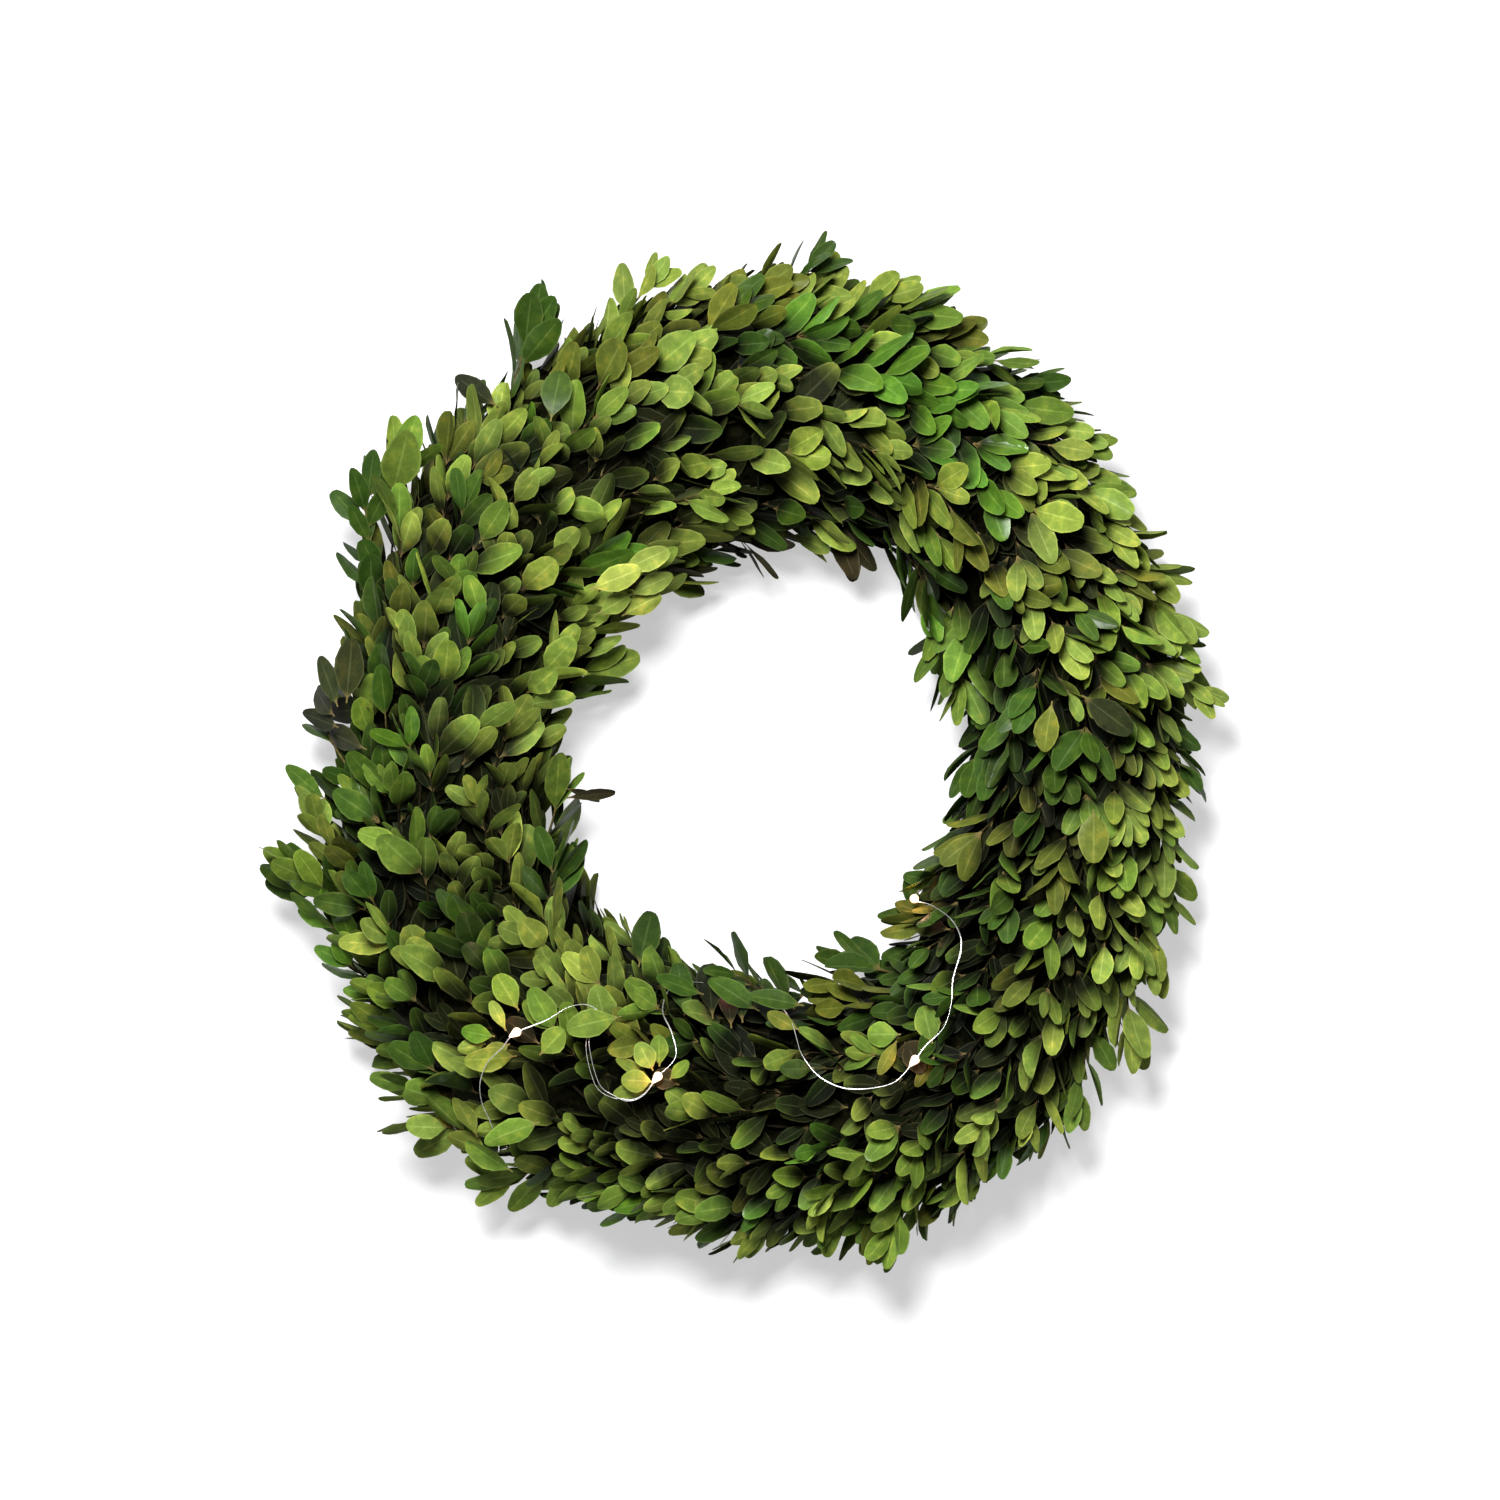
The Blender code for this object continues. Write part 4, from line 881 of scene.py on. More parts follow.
def add_leaves(builder, leaves, template, settings, first_cell, cells):
    """Add the leaves' blades to a mesh, each side of each leaf on its own cell of the bake map."""
    if not leaves:
        return
    points, triangles, under, corners = template
    amount = len(leaves)
    verts = leaf_points(points, leaves, settings.leaf_thickness)
    shift = (np.arange(amount) * len(points))[:, None, None]
    faces = triangles[None] + shift
    numbers = np.array([leaf.number for leaf in leaves])
    spots = np.broadcast_to(points[None, :, :2], (amount, len(points), 2))
    numbers = np.broadcast_to(numbers[:, None, None], (amount, len(points), 1))
    places = np.concatenate([spots, numbers], axis=2)
    # Painted shade: leaves darken deeper in the foliage and low down near the floor, and their gloss fades
    # with it
    depth = 1 - share_between(layers_of(verts), SHADE_LAYERS)
    shade = 1 - settings.inner_shade * depth ** 2 * (3 - 2 * depth)
    shade = shade * (LOW_SHADE + (1 - LOW_SHADE) * share_between(verts[..., 2], LOW_SHADE_HEIGHTS))
    tints_and_painted_shade = np.array([(*leaf.tint, 1.0) for leaf in leaves])[:, None, :] * shade[..., None]
    glosses = np.array([leaf.gloss for leaf in leaves])[:, None] * shade
    cell = first_cell + 2 * np.arange(amount)[:, None] + under[None, :].astype(int)
    maps = cell_places(cell[..., None], corners[None], cells)
    builder.add(verts.reshape(-1, 3), faces.reshape(-1, 3), LEAF_SLOT, maps.reshape(-1, 3, 2),
                places.reshape(-1, 3), tints_and_painted_shade.reshape(-1, 4), glosses.ravel(), np.tile(under, amount))


def share_between(values, limits):
    """How far values have got from one limit to the other, from 0 to 1."""
    low, high = limits
    return np.clip((values - low) / (high - low), 0, 1)


def cell_places(cell, corners, cells):
    """Places on the bake map inside numbered cells, which fill it in rows twice as many as its columns."""
    columns = math.ceil(math.sqrt(cells / 2))
    rows = math.ceil(cells / columns)
    inside = MAP_MARGIN + (1 - 2 * MAP_MARGIN) * np.clip(corners, 0, 1)
    u = (cell % columns + inside[..., 0]) / columns
    v = (cell // columns + inside[..., 1]) / rows
    return np.stack(np.broadcast_arrays(u, v), axis=-1)


def tube_arrays(points, radii, sides):
    """Vertices, triangles and map corners of a closed tube round a line of points."""
    points = np.array(points, float)
    ahead = np.gradient(points, axis=0)
    ahead /= np.linalg.norm(ahead, axis=1)[:, None]
    start = np.cross(ahead[0], (0.31, 0.52, 0.79))
    normal = start / np.linalg.norm(start)
    rings = []
    turns = np.arange(sides) * 2 * np.pi / sides
    for spot, way, radius in zip(points, ahead, radii):
        normal = normal - way * normal.dot(way)
        normal /= np.linalg.norm(normal)
        across = np.cross(way, normal)
        rings.append(spot + radius * (np.cos(turns)[:, None] * normal + np.sin(turns)[:, None] * across))
    verts = np.concatenate(rings)
    amount = len(points)
    triangles = []
    for ring in range(amount - 1):
        for side in range(sides):
            here = ring * sides + side
            beside = ring * sides + (side + 1) % sides
            triangles += [(here, beside, beside + sides), (here, beside + sides, here + sides)]
    last = (amount - 1) * sides
    for side in range(1, sides - 1):
        triangles.append((0, side + 1, side))
        triangles.append((last, last + side, last + side + 1))
    triangles = np.array(triangles)
    ring_share = (np.arange(len(verts)) // sides) / max(1, amount - 1)
    side_share = (np.arange(len(verts)) % sides) / sides
    corners = np.stack([ring_share[triangles], side_share[triangles]], axis=-1)
    return verts, triangles, corners


# Light wire


def box_matrix():
    """Place of the battery box: its X runs clockwise along the ring."""
    place = Matrix.Translation(ring_point(BOX_CLOCK, frame_distance(BOX_CLOCK), 0))
    return place @ Matrix.Rotation(-math.radians(BOX_CLOCK), 4, "Z")


def groove_corner(clock, side):
    """Place of the light wire round a groove's back corner, on the outer or the inner side."""
    middle, half = core_shape(clock)
    dip = dip_angle(GROOVE_BACK_HEIGHT, GROOVE_DEPTH)
    reach = (half - GROOVE_DEPTH) * math.cos(dip) + LIGHT_CORNER_ROOM
    return ring_point(clock, middle + side * reach, LIGHT_BACK_HEIGHT)


def light_route():
    """Points of the light wire from the battery box to its free end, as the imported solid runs."""
    end_x = -BOX_LENGTH / 2
    out, aside, height = BOX_WIRE_BEND
    box_end = box_matrix() @ Vector((end_x - FIT_GAP, 0, BOX_WIRE_HEIGHT))
    leaving = box_matrix() @ Vector((end_x - out, aside, height))
    channel_side = frame_distance(LIGHT_START_CLOCK) + CHANNEL_HALF_WIDTH
    start = [
        box_end, leaving, ring_point(LIGHT_START_CLOCK, channel_side, LIGHT_BACK_HEIGHT),
        groove_corner(LIGHT_START_CLOCK, 1),
        *(layer_point(clock, angle, layer * MM) for clock, angle, layer in LIGHT_UP_SIDE),
    ]
    channel_side = frame_distance(LIGHT_END_CLOCK) - CHANNEL_HALF_WIDTH
    end = [
        *(layer_point(clock, angle, layer * MM) for clock, angle, layer in LIGHT_DOWN_HOLE),
        groove_corner(LIGHT_END_CLOCK, -1), ring_point(LIGHT_END_CLOCK, channel_side, LIGHT_BACK_HEIGHT),
        *(ring_point(clock, frame_distance(clock), height * MM) for clock, height in LIGHT_TAIL),
    ]
    return start + [front_point(*place) for place in LIGHT_ON_FRONT] + end


def light_line(step):
    """Evenly spaced points along the light wire."""
    route = light_route()
    line = [route[0]]
    for index in range(len(route) - 1):
        steps = max(1, round((route[index + 1] - route[index]).length / step))
        line += [smooth_point(route, index, number / steps) for number in range(1, steps + 1)]
    return line


def led_places():
    """Middle of each LED's solid, and the way its wire runs there."""
    line = light_line(LED_STEP)
    places = []
    for number in range(1, LEDS + 1):
        low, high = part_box(f"led_bead_{number}")
        middle = (low + high) / 2
        nearest = min(range(1, len(line) - 1), key=lambda at: (line[at] - middle).length)
        places.append((middle, (line[nearest + 1] - line[nearest - 1]).normalized()))
    return places


def wire_shows(point):
    """Whether the light wire is in sight at a point, so that no leaf may lie over it."""
    place = point - MIDDLE
    left, right, lowest = SUNK_STRETCH
    sunk = left < place.x < right and place.y > lowest
    return place.z > (LIGHT_IN_SIGHT if place.x < right else LIGHT_END_IN_SIGHT) and not sunk


def light_room():
    """Faces that no leaf may cross: along the light wire, over it where it shows, and at the LEDs."""
    line = light_line(ROOM_STEP)
    verts = []
    faces = []
    for point, following in zip(line, line[1:]):
        side = (following - point).cross(Vector((0, 0, 1))).normalized() * LIGHT_SLEEVE
        ends = (point - side, following - side, following + side, point + side)
        faces.append(range(len(verts), len(verts) + 4))
        verts += ends
        if wire_shows(point) and wire_shows(following):
            roof = Vector((0, 0, 2 * CORE_RISE))
            for shift in (-side, side):
                faces.append(range(len(verts), len(verts) + 4))
                verts += (point + shift, following + shift, following + shift + roof, point + shift + roof)
    for number, (middle, _) in enumerate(led_places(), 1):
        up = Vector((0, 0, LED_ROOM))
        roof = Vector((0, 0, 2 * CORE_RISE if number in SHOWING_BEADS else LED_ROOM))
        for shift in (Vector((LED_ROOM, 0, 0)), Vector((0, LED_ROOM, 0))):
            faces.append(range(len(verts), len(verts) + 4))
            verts += (middle - shift - up, middle + shift - up, middle + shift + roof, middle - shift + roof)
    return BVHTree.FromPolygons(verts, [list(face) for face in faces])


# Foliage


class Field:
    """All leaves that have been placed, so that a new one can be kept from crossing them."""

    cell = 22 * MM
    reach = 1.1 * cell

    def __init__(self, room):
        self.room = room
        self.cells = {}

    def key(self, point):
        return tuple(int(value // self.cell) for value in point)

    def crossed(self, tree, middle):
        """Whether a new leaf would cross the lights' room or a placed leaf."""
        if tree.overlap(self.room):
            return True
        key = self.key(middle)
        for shift in itertools.product((-1, 0, 1), repeat=3):
            cell = tuple(place + step for place, step in zip(key, shift))
            for centre, other in self.cells.get(cell, ()):
                if (centre - middle).length < self.reach and tree.overlap(other):
                    return True
        return False

    def keep(self, tree, middle):
        self.cells.setdefault(self.key(middle), []).append((middle, tree))


def leaf_proxy(leaf):
    """A few triangles along a leaf, to test what it crosses, its middle and its lowest height."""
    points, triangles = PROXY_LEAF[:2]
    verts = leaf_points(points, [leaf], 0.0)[0]
    tree = BVHTree.FromPolygons(verts.tolist(), triangles.tolist())
    return tree, leaf.root + leaf.ahead * leaf.length / 2, verts[:, 2].min()


@dataclass
class Sprig:
    """A curved stem with its axes, its bunch and the tone of its leaves."""

    points: list
    normal: Vector
    bunch: int
    tone: str
    scale: float
    roll: float
    full: bool

    def __post_init__(self):
        gaps = [(b - a).length for a, b in zip(self.points, self.points[1:])]
        self.reach = [sum(gaps[index:]) for index in range(len(self.points))]

    def at(self, distance):
        """Point and direction of the stem at a distance back from its tip."""
        for index in range(len(self.points) - 2, -1, -1):
            start, end = self.points[index], self.points[index + 1]
            if distance <= self.reach[index] or index == 0:
                part = (self.reach[index] - distance) / max(1e-9, self.reach[index] - self.reach[index + 1])
                return start.lerp(end, max(0, min(1, part))), (end - start).normalized()


def stem_curve(root, first_way, tip, last_way):
    """Points of a smooth stem from its root to its tip."""
    length = (tip - root).length
    points = []
    for number in range(STEM_POINTS):
        u = number / (STEM_POINTS - 1)
        points.append(
            root * (2 * u ** 3 - 3 * u ** 2 + 1) + first_way * length * (u ** 3 - 2 * u ** 2 + u)
            + tip * (3 * u ** 2 - 2 * u ** 3) + last_way * length * (u ** 3 - u ** 2))
    return points


def draw(rng, name):
    return rng.uniform(*DRAWS[name])


def gap_between(first, second):
    return (first - second + 180) % 360 - 180


def tone_at(clock, angle, rng):
    """Draw a tone from those that grow at a place."""
    weights = dict(TONES_EVERYWHERE)
    for patch_clock, clock_spread, patch_angle, angle_spread, tone, weight in TONE_PATCHES:
        along = gap_between(clock, patch_clock) / clock_spread
        across = (angle - patch_angle) / angle_spread
        weights[tone] += weight * math.exp(-(along ** 2 + across ** 2))
    return rng.choices(list(weights), list(weights.values()))[0]


def tone_colour(settings, tone, rng):
    """The tone's colour, a little lighter or darker and warmer or cooler from leaf to leaf."""
    colour = getattr(settings, tone)
    light = draw(rng, "tone_light")
    warm = draw(rng, "tone_warmth")
    return colour[0] * light * (1 + warm), colour[1] * light, colour[2] * light * (1 - warm)


def leaf_size(settings, clock):
    """Leaves are largest at the upper left and smallest in the bottom arch."""
    middle, swing = LEAF_SIZES
    gap = math.radians(gap_between(clock, LARGE_LEAF_CLOCK))
    return settings.leaf_length * (middle + swing * math.cos(gap))


def trim_height(clock, outward):
    """How much higher or lower the foliage stands at a clock angle, to follow the outline; outward is the
    cosine of the angle round the section."""
    height = 0
    for trim_clock, spread, side, amount in OUTLINE_TRIMS:
        share = np.maximum(0, side * outward)
        height = height + amount * MM * share * np.exp(-(gap_between(clock, trim_clock) / spread) ** 2)
    return height


def in_gap(point):
    """Whether a place on the front lies in one of the gaps."""
    place = point - MIDDLE
    if place.z < CORE_AXIS_HEIGHT:
        return False
    return any(math.hypot(place.x - x * MM, place.y - y * MM) < GAP_REACH for x, y in GAPS)


def grow_sprig(settings, clock, angle, tip, ahead, tone, rng, reach=1.0, full=False):
    """A sprig that ends at a tip near the place at a clock angle and an angle round the section; where it is
    full, none of its foremost leaves is missing."""
    length = settings.sprig_length * reach * draw(rng, "sprig_length")
    radius = max(LEAST_TIP_RADIUS, (tip - MIDDLE).xy.length)
    back = math.degrees(length / radius)
    low, high = ROOT_ANGLES
    root_angle = max(low, min(high, angle + draw(rng, "root_angle")))
    root = layer_point(clock - back, root_angle, ROOT_LAYER)
    normal, flow, _ = surface_axes(clock - back, root_angle)
    first = (flow + normal * ROOT_RISE).normalized()
    points = stem_curve(root, first, tip, ahead)
    bunch = int((clock - back) % 360 // BUNCH_ANGLE)
    facing = (surface_axes(clock, angle)[0] + Vector((0, 0, FACING_RISE))).normalized()
    scale = leaf_size(settings, clock) * draw(rng, "sprig_size")
    return Sprig(points, facing, bunch, tone, scale, draw(rng, "sprig_roll"), full)


def grow_stray(settings, clock, radius, height, turn, tone, rng):
    """A sprig that stands out of the outline, given by the tip of its foremost leaf."""
    side = math.copysign(1, turn)
    angle = 90 - side * STRAY_TILT
    out = math.radians(abs(turn))
    flow, outward = ring_axes(clock)
    ahead = flow * math.cos(out) + side * outward * math.sin(out)
    ahead = (ahead + Vector((0, 0, STRAY_RISE))).normalized()
    side_reach = SIDE_LEAF_SHARE * math.sin(math.radians(min(90, abs(turn) + SIDE_LEAF_SPREAD)))
    radius = radius * MM - side * TIP_LEAF_REACH * max(0, side_reach - math.sin(out))
    tip = ring_point(clock, radius, height * MM) - ahead * TIP_LEAF_REACH
    place = tip - MIDDLE
    tip_clock = math.degrees(math.atan2(place.x, place.y))
    tone = tone or tone_at(clock, angle, rng)
    reach = 1.0 if side > 0 else INNER_STRAY_REACH
    return grow_sprig(settings, tip_clock, angle, tip, ahead, tone, rng, reach, full=True)


def plan_sprigs(settings, rng):
    """Sprigs that stand out of the outline, then the others in staggered lanes round the section."""
    sprigs = [grow_stray(settings, *row, rng) for row in STRAY_SPRIGS]
    low, high = SIDE_ANGLES
    for lane in range(SPRIG_LANES):
        angle = low + (high - low) * lane / (SPRIG_LANES - 1)
        radii = [(layer_point(clock, angle, TIP_LAYER) - MIDDLE).xy.length for clock in range(0, 360, 10)]
        count = round(2 * math.pi * sum(radii) / len(radii) / settings.sprig_spacing)
        for number in range(count):
            clock = 360 * (number + 0.5 * (lane % 2) + draw(rng, "lane_place")) / count
            bend = angle + draw(rng, "section_angle")
            front = math.sin(math.radians(max(0, min(180, bend))))
            lean = math.radians(rng.gauss(*SPRIG_LEAN))
            splay = math.radians(FRONT_SPLAY * front + rng.gauss(0, SPLAY_SPREAD))
            trim = trim_height(clock, math.cos(math.radians(bend)))
            layer = TIP_LAYER + rng.gauss(0, TIP_SPREAD) * MM + trim
            tip = layer_point(clock, bend, layer)
            if in_gap(tip):
                continue
            normal, flow, across = surface_axes(clock, bend)
            ahead = (flow + across * math.tan(splay)).normalized() * math.cos(lean) + normal * math.sin(lean)
            tone = tone_at(clock, bend, rng)
            sprigs.append(grow_sprig(settings, clock, bend, tip, ahead.normalized(), tone, rng))
    return sprigs


def leaf_on_sprig(settings, sprig, row, rng, loose):
    """Draw one leaf of a sprig; loose lets it stray further from its place in the plan."""
    distance, turn, spread, size = row
    point, ahead = sprig.at(distance * draw(rng, "leaf_distance"))
    out = (sprig.normal - ahead * ahead.dot(sprig.normal)).normalized()
    side = ahead.cross(out)
    turn = math.radians(turn + sprig.roll + draw(rng, "leaf_turn") * (1 + loose))
    spread = math.radians(spread + draw(rng, "leaf_spread") * (1 + 1.5 * loose))
    radial = out * math.cos(turn) + side * math.sin(turn)
    way = (ahead * math.cos(spread) + radial * math.sin(spread)).normalized()
    back_face = radial * math.cos(spread) - ahead * math.sin(spread)
    share = 0.15 + 0.45 * abs(math.sin(turn)) + draw(rng, "leaf_facing")
    face = back_face * (1 - share) + sprig.normal * share
    face = (face - way * way.dot(face)).normalized()
    face = Matrix.Rotation(math.radians(rng.gauss(0, LEAF_ROLL) * (1 + loose)), 3, way) @ face
    tone = sprig.tone
    upper_chance, gloss = TONE_FACES[tone]
    upper = rng.random() < upper_chance
    length = sprig.scale * size * draw(rng, "leaf_length") * (1 - 0.12 * loose)
    width = length * settings.leaf_width / settings.leaf_length * draw(rng, "leaf_width")
    leaf = Leaf(point, way, face if upper else -face, length, width, rng)
    leaf.tint = tone_colour(settings, tone, rng)
    leaf.gloss = gloss * draw(rng, "leaf_gloss")
    leaf.fine = distance < FINE_LEAF_REACH
    leaf.bunch = sprig.bunch
    return leaf


def chosen_leaf(settings, row, rng):
    """One of the listed leaves."""
    (x, y, layer), (tip_x, tip_y, tip_layer), width, tone, upper = row
    root = front_point(x, y, layer)
    tip = front_point(tip_x, tip_y, tip_layer)
    clock, angle = clock_and_angle(x, y, layer)
    normal = surface_axes(clock, angle)[0]
    way = (tip - root).normalized()
    face = normal + Vector((0, 0, 1))
    face = (face - way * way.dot(face)).normalized()
    leaf = Leaf(root, way, face if upper else -face, (tip - root).length, width * MM, rng)
    leaf.tint = tone_colour(settings, tone, rng)
    leaf.gloss = TONE_FACES[tone][1] * CHOSEN_GLOSS
    leaf.bunch = int(clock // BUNCH_ANGLE)
    return leaf


def grow_leaves(settings, sprigs, rng):
    """Leaves of all sprigs, the outermost first, drawn again where they would cross another."""
    field = Field(light_room())
    leaves = []
    for row in CHOSEN_LEAVES:
        leaf = chosen_leaf(settings, row, rng)
        field.keep(*leaf_proxy(leaf)[:2])
        leaves.append(leaf)
    for row in SPRIG_PLAN:
        for sprig in sprigs:
            bare = rng.random() < settings.bare_share
            if bare and not (sprig.full and row[0] < FINE_LEAF_REACH):
                continue
            for attempt in range(PLACE_TRIES):
                leaf = leaf_on_sprig(settings, sprig, row, rng, attempt / PLACE_TRIES)
                tree, middle, lowest = leaf_proxy(leaf)
                if lowest > LOWEST_LEAF and not field.crossed(tree, middle):
                    field.keep(tree, middle)
                    leaves.append(leaf)
                    break
    return leaves


def core_section(clock, shrink, back, rng):
    """Outline of a bunch's bound stems at a clock angle, with the frame's channel in its back."""
    least, most = CORE_SHRINKS
    dip = math.degrees(dip_angle(back, shrink or least))
    step = (180 + 2 * dip) / (CORE_CORNERS - 1)
    outline = []
    for corner in range(CORE_CORNERS):
        angle = -dip + step * corner
        depth = shrink or least + (most - least) * math.sin(math.radians(angle))
        outline.append(layer_point(clock, angle, -depth - rng.uniform(0, CORE_ROUGHNESS)))
    outline[0].z = outline[-1].z = back
    middle = frame_distance(clock)
    for side, height in ((-1, back), (-1, CHANNEL_DEPTH), (1, CHANNEL_DEPTH), (1, back)):
        outline.append(ring_point(clock, middle + side * CHANNEL_HALF_WIDTH, height))
    return outline


def closed_core(bunch, rng):
    """Points and triangles of a bunch's bound stems, closed at both ends and facing outwards."""
    start = bunch * BUNCH_ANGLE
    sections = [core_section(clock, GROOVE_DEPTH + CORE_SKIN, GROOVE_BACK_HEIGHT + CORE_SKIN, rng)
                for clock in (start, start + GROOVE_ANGLE)]
    full = GROOVE_ANGLE + GROOVE_SLOPE_ANGLE
    for number in range(CORE_SECTIONS):
        clock = start + full + (BUNCH_ANGLE - full) * number / (CORE_SECTIONS - 1)
        sections.append(core_section(clock, 0, CORE_SKIN, rng))
    bm = bmesh.new()
    rings = [[bm.verts.new(point) for point in section] for section in sections]
    for ring, following in zip(rings, rings[1:]):
        for k in range(len(ring)):
            beside = (k + 1) % len(ring)
            bm.faces.new((ring[k], following[k], following[beside]))
            bm.faces.new((ring[k], following[beside], ring[beside]))
    bmesh.ops.triangulate(bm, faces=[bm.faces.new(rings[0]), bm.faces.new(rings[-1])])
    bmesh.ops.recalc_face_normals(bm, faces=bm.faces)
    bm.verts.index_update()
    verts = np.array([tuple(vert.co) for vert in bm.verts])
    triangles = np.array([[vert.index for vert in face.verts] for face in bm.faces])
    bm.free()
    return verts, triangles


def stem_strip(clock, side):
    """Radii between which cut stems lie on one side of the frame's channel."""
    middle, half = core_shape(clock)
    edge = (half - STEM_INSET) * math.cos(math.asin(CORE_AXIS_HEIGHT / CORE_RISE))
    return frame_distance(clock) + side * (CHANNEL_HALF_WIDTH + STEM_CHANNEL_ROOM), middle + side * edge


def back_stems(bunch, rng):
    """Cut stems that lie side by side along the back of a bunch, on both sides of the frame's channel."""
    start = bunch * BUNCH_ANGLE + GROOVE_ANGLE + GROOVE_SLOPE_ANGLE - STEM_START_ROOM
    end = (bunch + 1) * BUNCH_ANGLE - STEM_END_ROOM
    lines = []
    for side in (-1, 1):
        channel, rim = stem_strip(start + STEM_COUNT_ANGLE, side)
        count = max(3, int(abs(rim - channel) / STEM_SPACING))
        for number in range(count):
            part = (number + draw(rng, "stem_place")) / count
            slant = draw(rng, "stem_slant") * MM
            height = draw(rng, "stem_height") * MM
            first = start + draw(rng, "stem_start")
            last = end - draw(rng, "stem_end")
            line = []
            for step in range(STEM_STEPS + 1):
                share = step / STEM_STEPS
                clock = first + (last - first) * step / STEM_STEPS
                channel, rim = stem_strip(clock, side)
                radius = channel + (rim - channel) * part + slant * (share - 0.5)
                line.append(ring_point(clock, radius, height + STEM_SWAY * math.sin(step + number)))
            lines.append((line, draw(rng, "stem_radius") * MM))
    return lines


def build_bunch(settings, bunch, leaves, sprigs, materials, rng):
    """One bunch: its leaves, its twigs, its bound stems and the cut stems at its back."""
    builder = MeshBuilder()
    fine = [leaf for leaf in leaves if leaf.fine]
    plain = [leaf for leaf in leaves if not leaf.fine]
    stems = back_stems(bunch, rng)
    cells = 2 * len(leaves) + len(sprigs) + len(stems) + SPARE_CELLS
    add_leaves(builder, fine, FINE_LEAF, settings, 0, cells)
    add_leaves(builder, plain, PLAIN_LEAF, settings, 2 * len(fine), cells)
    cell = 2 * len(leaves)
    radii = np.linspace(*(settings.twig_diameter * share for share in TWIG_TAPER), STEM_POINTS)
    for sprig in sprigs:
        verts, triangles, corners = tube_arrays(sprig.points, radii, TWIG_SIDES)
        # Painted shade: twigs darken deeper in the foliage
        shade = INNER_TWIG_SHADE + (1 - INNER_TWIG_SHADE) * share_between(layers_of(verts), SHADE_LAYERS)
        builder.add(verts, triangles, TWIG_SLOT, cell_places(np.array(cell), corners, cells),
                    tints_and_painted_shade=np.repeat(shade[:, None], 4, axis=1))
        cell += 1
    for line, radius in stems:
        verts, triangles, corners = tube_arrays(line, [radius] * len(line), TWIG_SIDES)
        builder.add(verts, triangles, STEM_SLOT, cell_places(np.array(cell), corners, cells))
        cell += 1
    verts, triangles = closed_core(bunch, rng)
    spread = (verts - verts.min(axis=0)) / np.ptp(verts, axis=0)
    builder.add(verts, triangles, CORE_SLOT, cell_places(np.array(cell), spread[triangles][..., :2], cells))
    name = f"boxwood_bunch_{bunch + 1:02d}"
    piece = link(bpy.data.objects.new(name, builder.mesh(name, materials)))
    finish_piece(piece, f"bunch_{bunch + 1:02d}")


# Wires and battery box


def wire_piece(name, lines, diameter, material, slot, closed=False, sides=2):
    """Round wires along lines of points, as one curve with filled ends, for the solid of that slot."""
    curve = bpy.data.curves.new(name, "CURVE")
    curve.dimensions = "3D"
    curve.bevel_depth = diameter / 2
    curve.bevel_resolution = sides
    curve.use_fill_caps = True
    for line in lines:
        spline = curve.splines.new("POLY")
        spline.points.add(len(line) - 1)
        for place, point in zip(spline.points, line):
            place.co = (*point, 1)
        spline.use_cyclic_u = closed
        spline.use_smooth = True
    curve.materials.append(material)
    finish_piece(link(bpy.data.objects.new(name, curve)), WIRE_NODES[slot])


def frame_point(clock, radius, height):
    """Point of the wire frame, round its own centre."""
    turn = math.radians(clock)
    centre = MIDDLE + Vector((*FRAME_CENTRE, height))
    return centre + Vector((radius * math.sin(turn), radius * math.cos(turn), 0))


def binding_route():
    """One line round every groove and along the channel between them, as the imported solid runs."""
    route = []
    lift = GROOVE_DEPTH - BINDING_CLEARANCE - BINDING_WIRE / 2
    height = GROOVE_BACK_HEIGHT - BINDING_CLEARANCE - BINDING_WIRE / 2
    dip = math.degrees(dip_angle(GROOVE_BACK_HEIGHT, GROOVE_DEPTH))
    first, last = BINDING_TURN_ANGLES
    for bunch in range(BUNCHES):
        run = bunch * BUNCH_ANGLE + first
        route.append(ring_point(run, frame_distance(run) + BINDING_RUN_OFFSET, height))
        for number in range(BINDING_CORNERS):
            angle = -dip + (180 + 2 * dip) * number / (BINDING_CORNERS - 1)
            clock = run + (last - first) * (number + 1) / (BINDING_CORNERS + 1)
            point = layer_point(clock, angle, -lift)
            if number in (0, BINDING_CORNERS - 1):
                point.z = height
            route.append(point)
        for step in range(BINDING_RUN_STEPS):
            clock = run + last - first + (BUNCH_ANGLE + first - last) * step / BINDING_RUN_STEPS
            route.append(ring_point(clock, frame_distance(clock) + BINDING_RUN_OFFSET, height))
    return route


def twin_strands(line, gap, wide_gap):
    """Two strands that wind slowly round each other along a line, and part along one stretch of it."""
    strands = ([], [])
    parted = MIDDLE + Vector((*PARTED_STRANDS, 0))
    for number, point in enumerate(line):
        before, after = line[max(0, number - 1)], line[min(len(line) - 1, number + 1)]
        ahead = (after - before).normalized()
        side = ahead.cross(Vector((0, 0, 1))).normalized()
        turn = number * STRAND_TURN + STRAND_SWAY * math.sin(number * STRAND_SWAY_TURN)
        shift = side * math.cos(turn) + ahead.cross(side) * math.sin(turn)
        near = math.exp(-((point - parted).xy.length / PARTED_REACH) ** 4)
        wide = gap + (wide_gap - gap) * near
        shift = shift.lerp(side, near).normalized()
        strands[0].append(point + shift * wide)
        strands[1].append(point - shift * wide)
    return strands


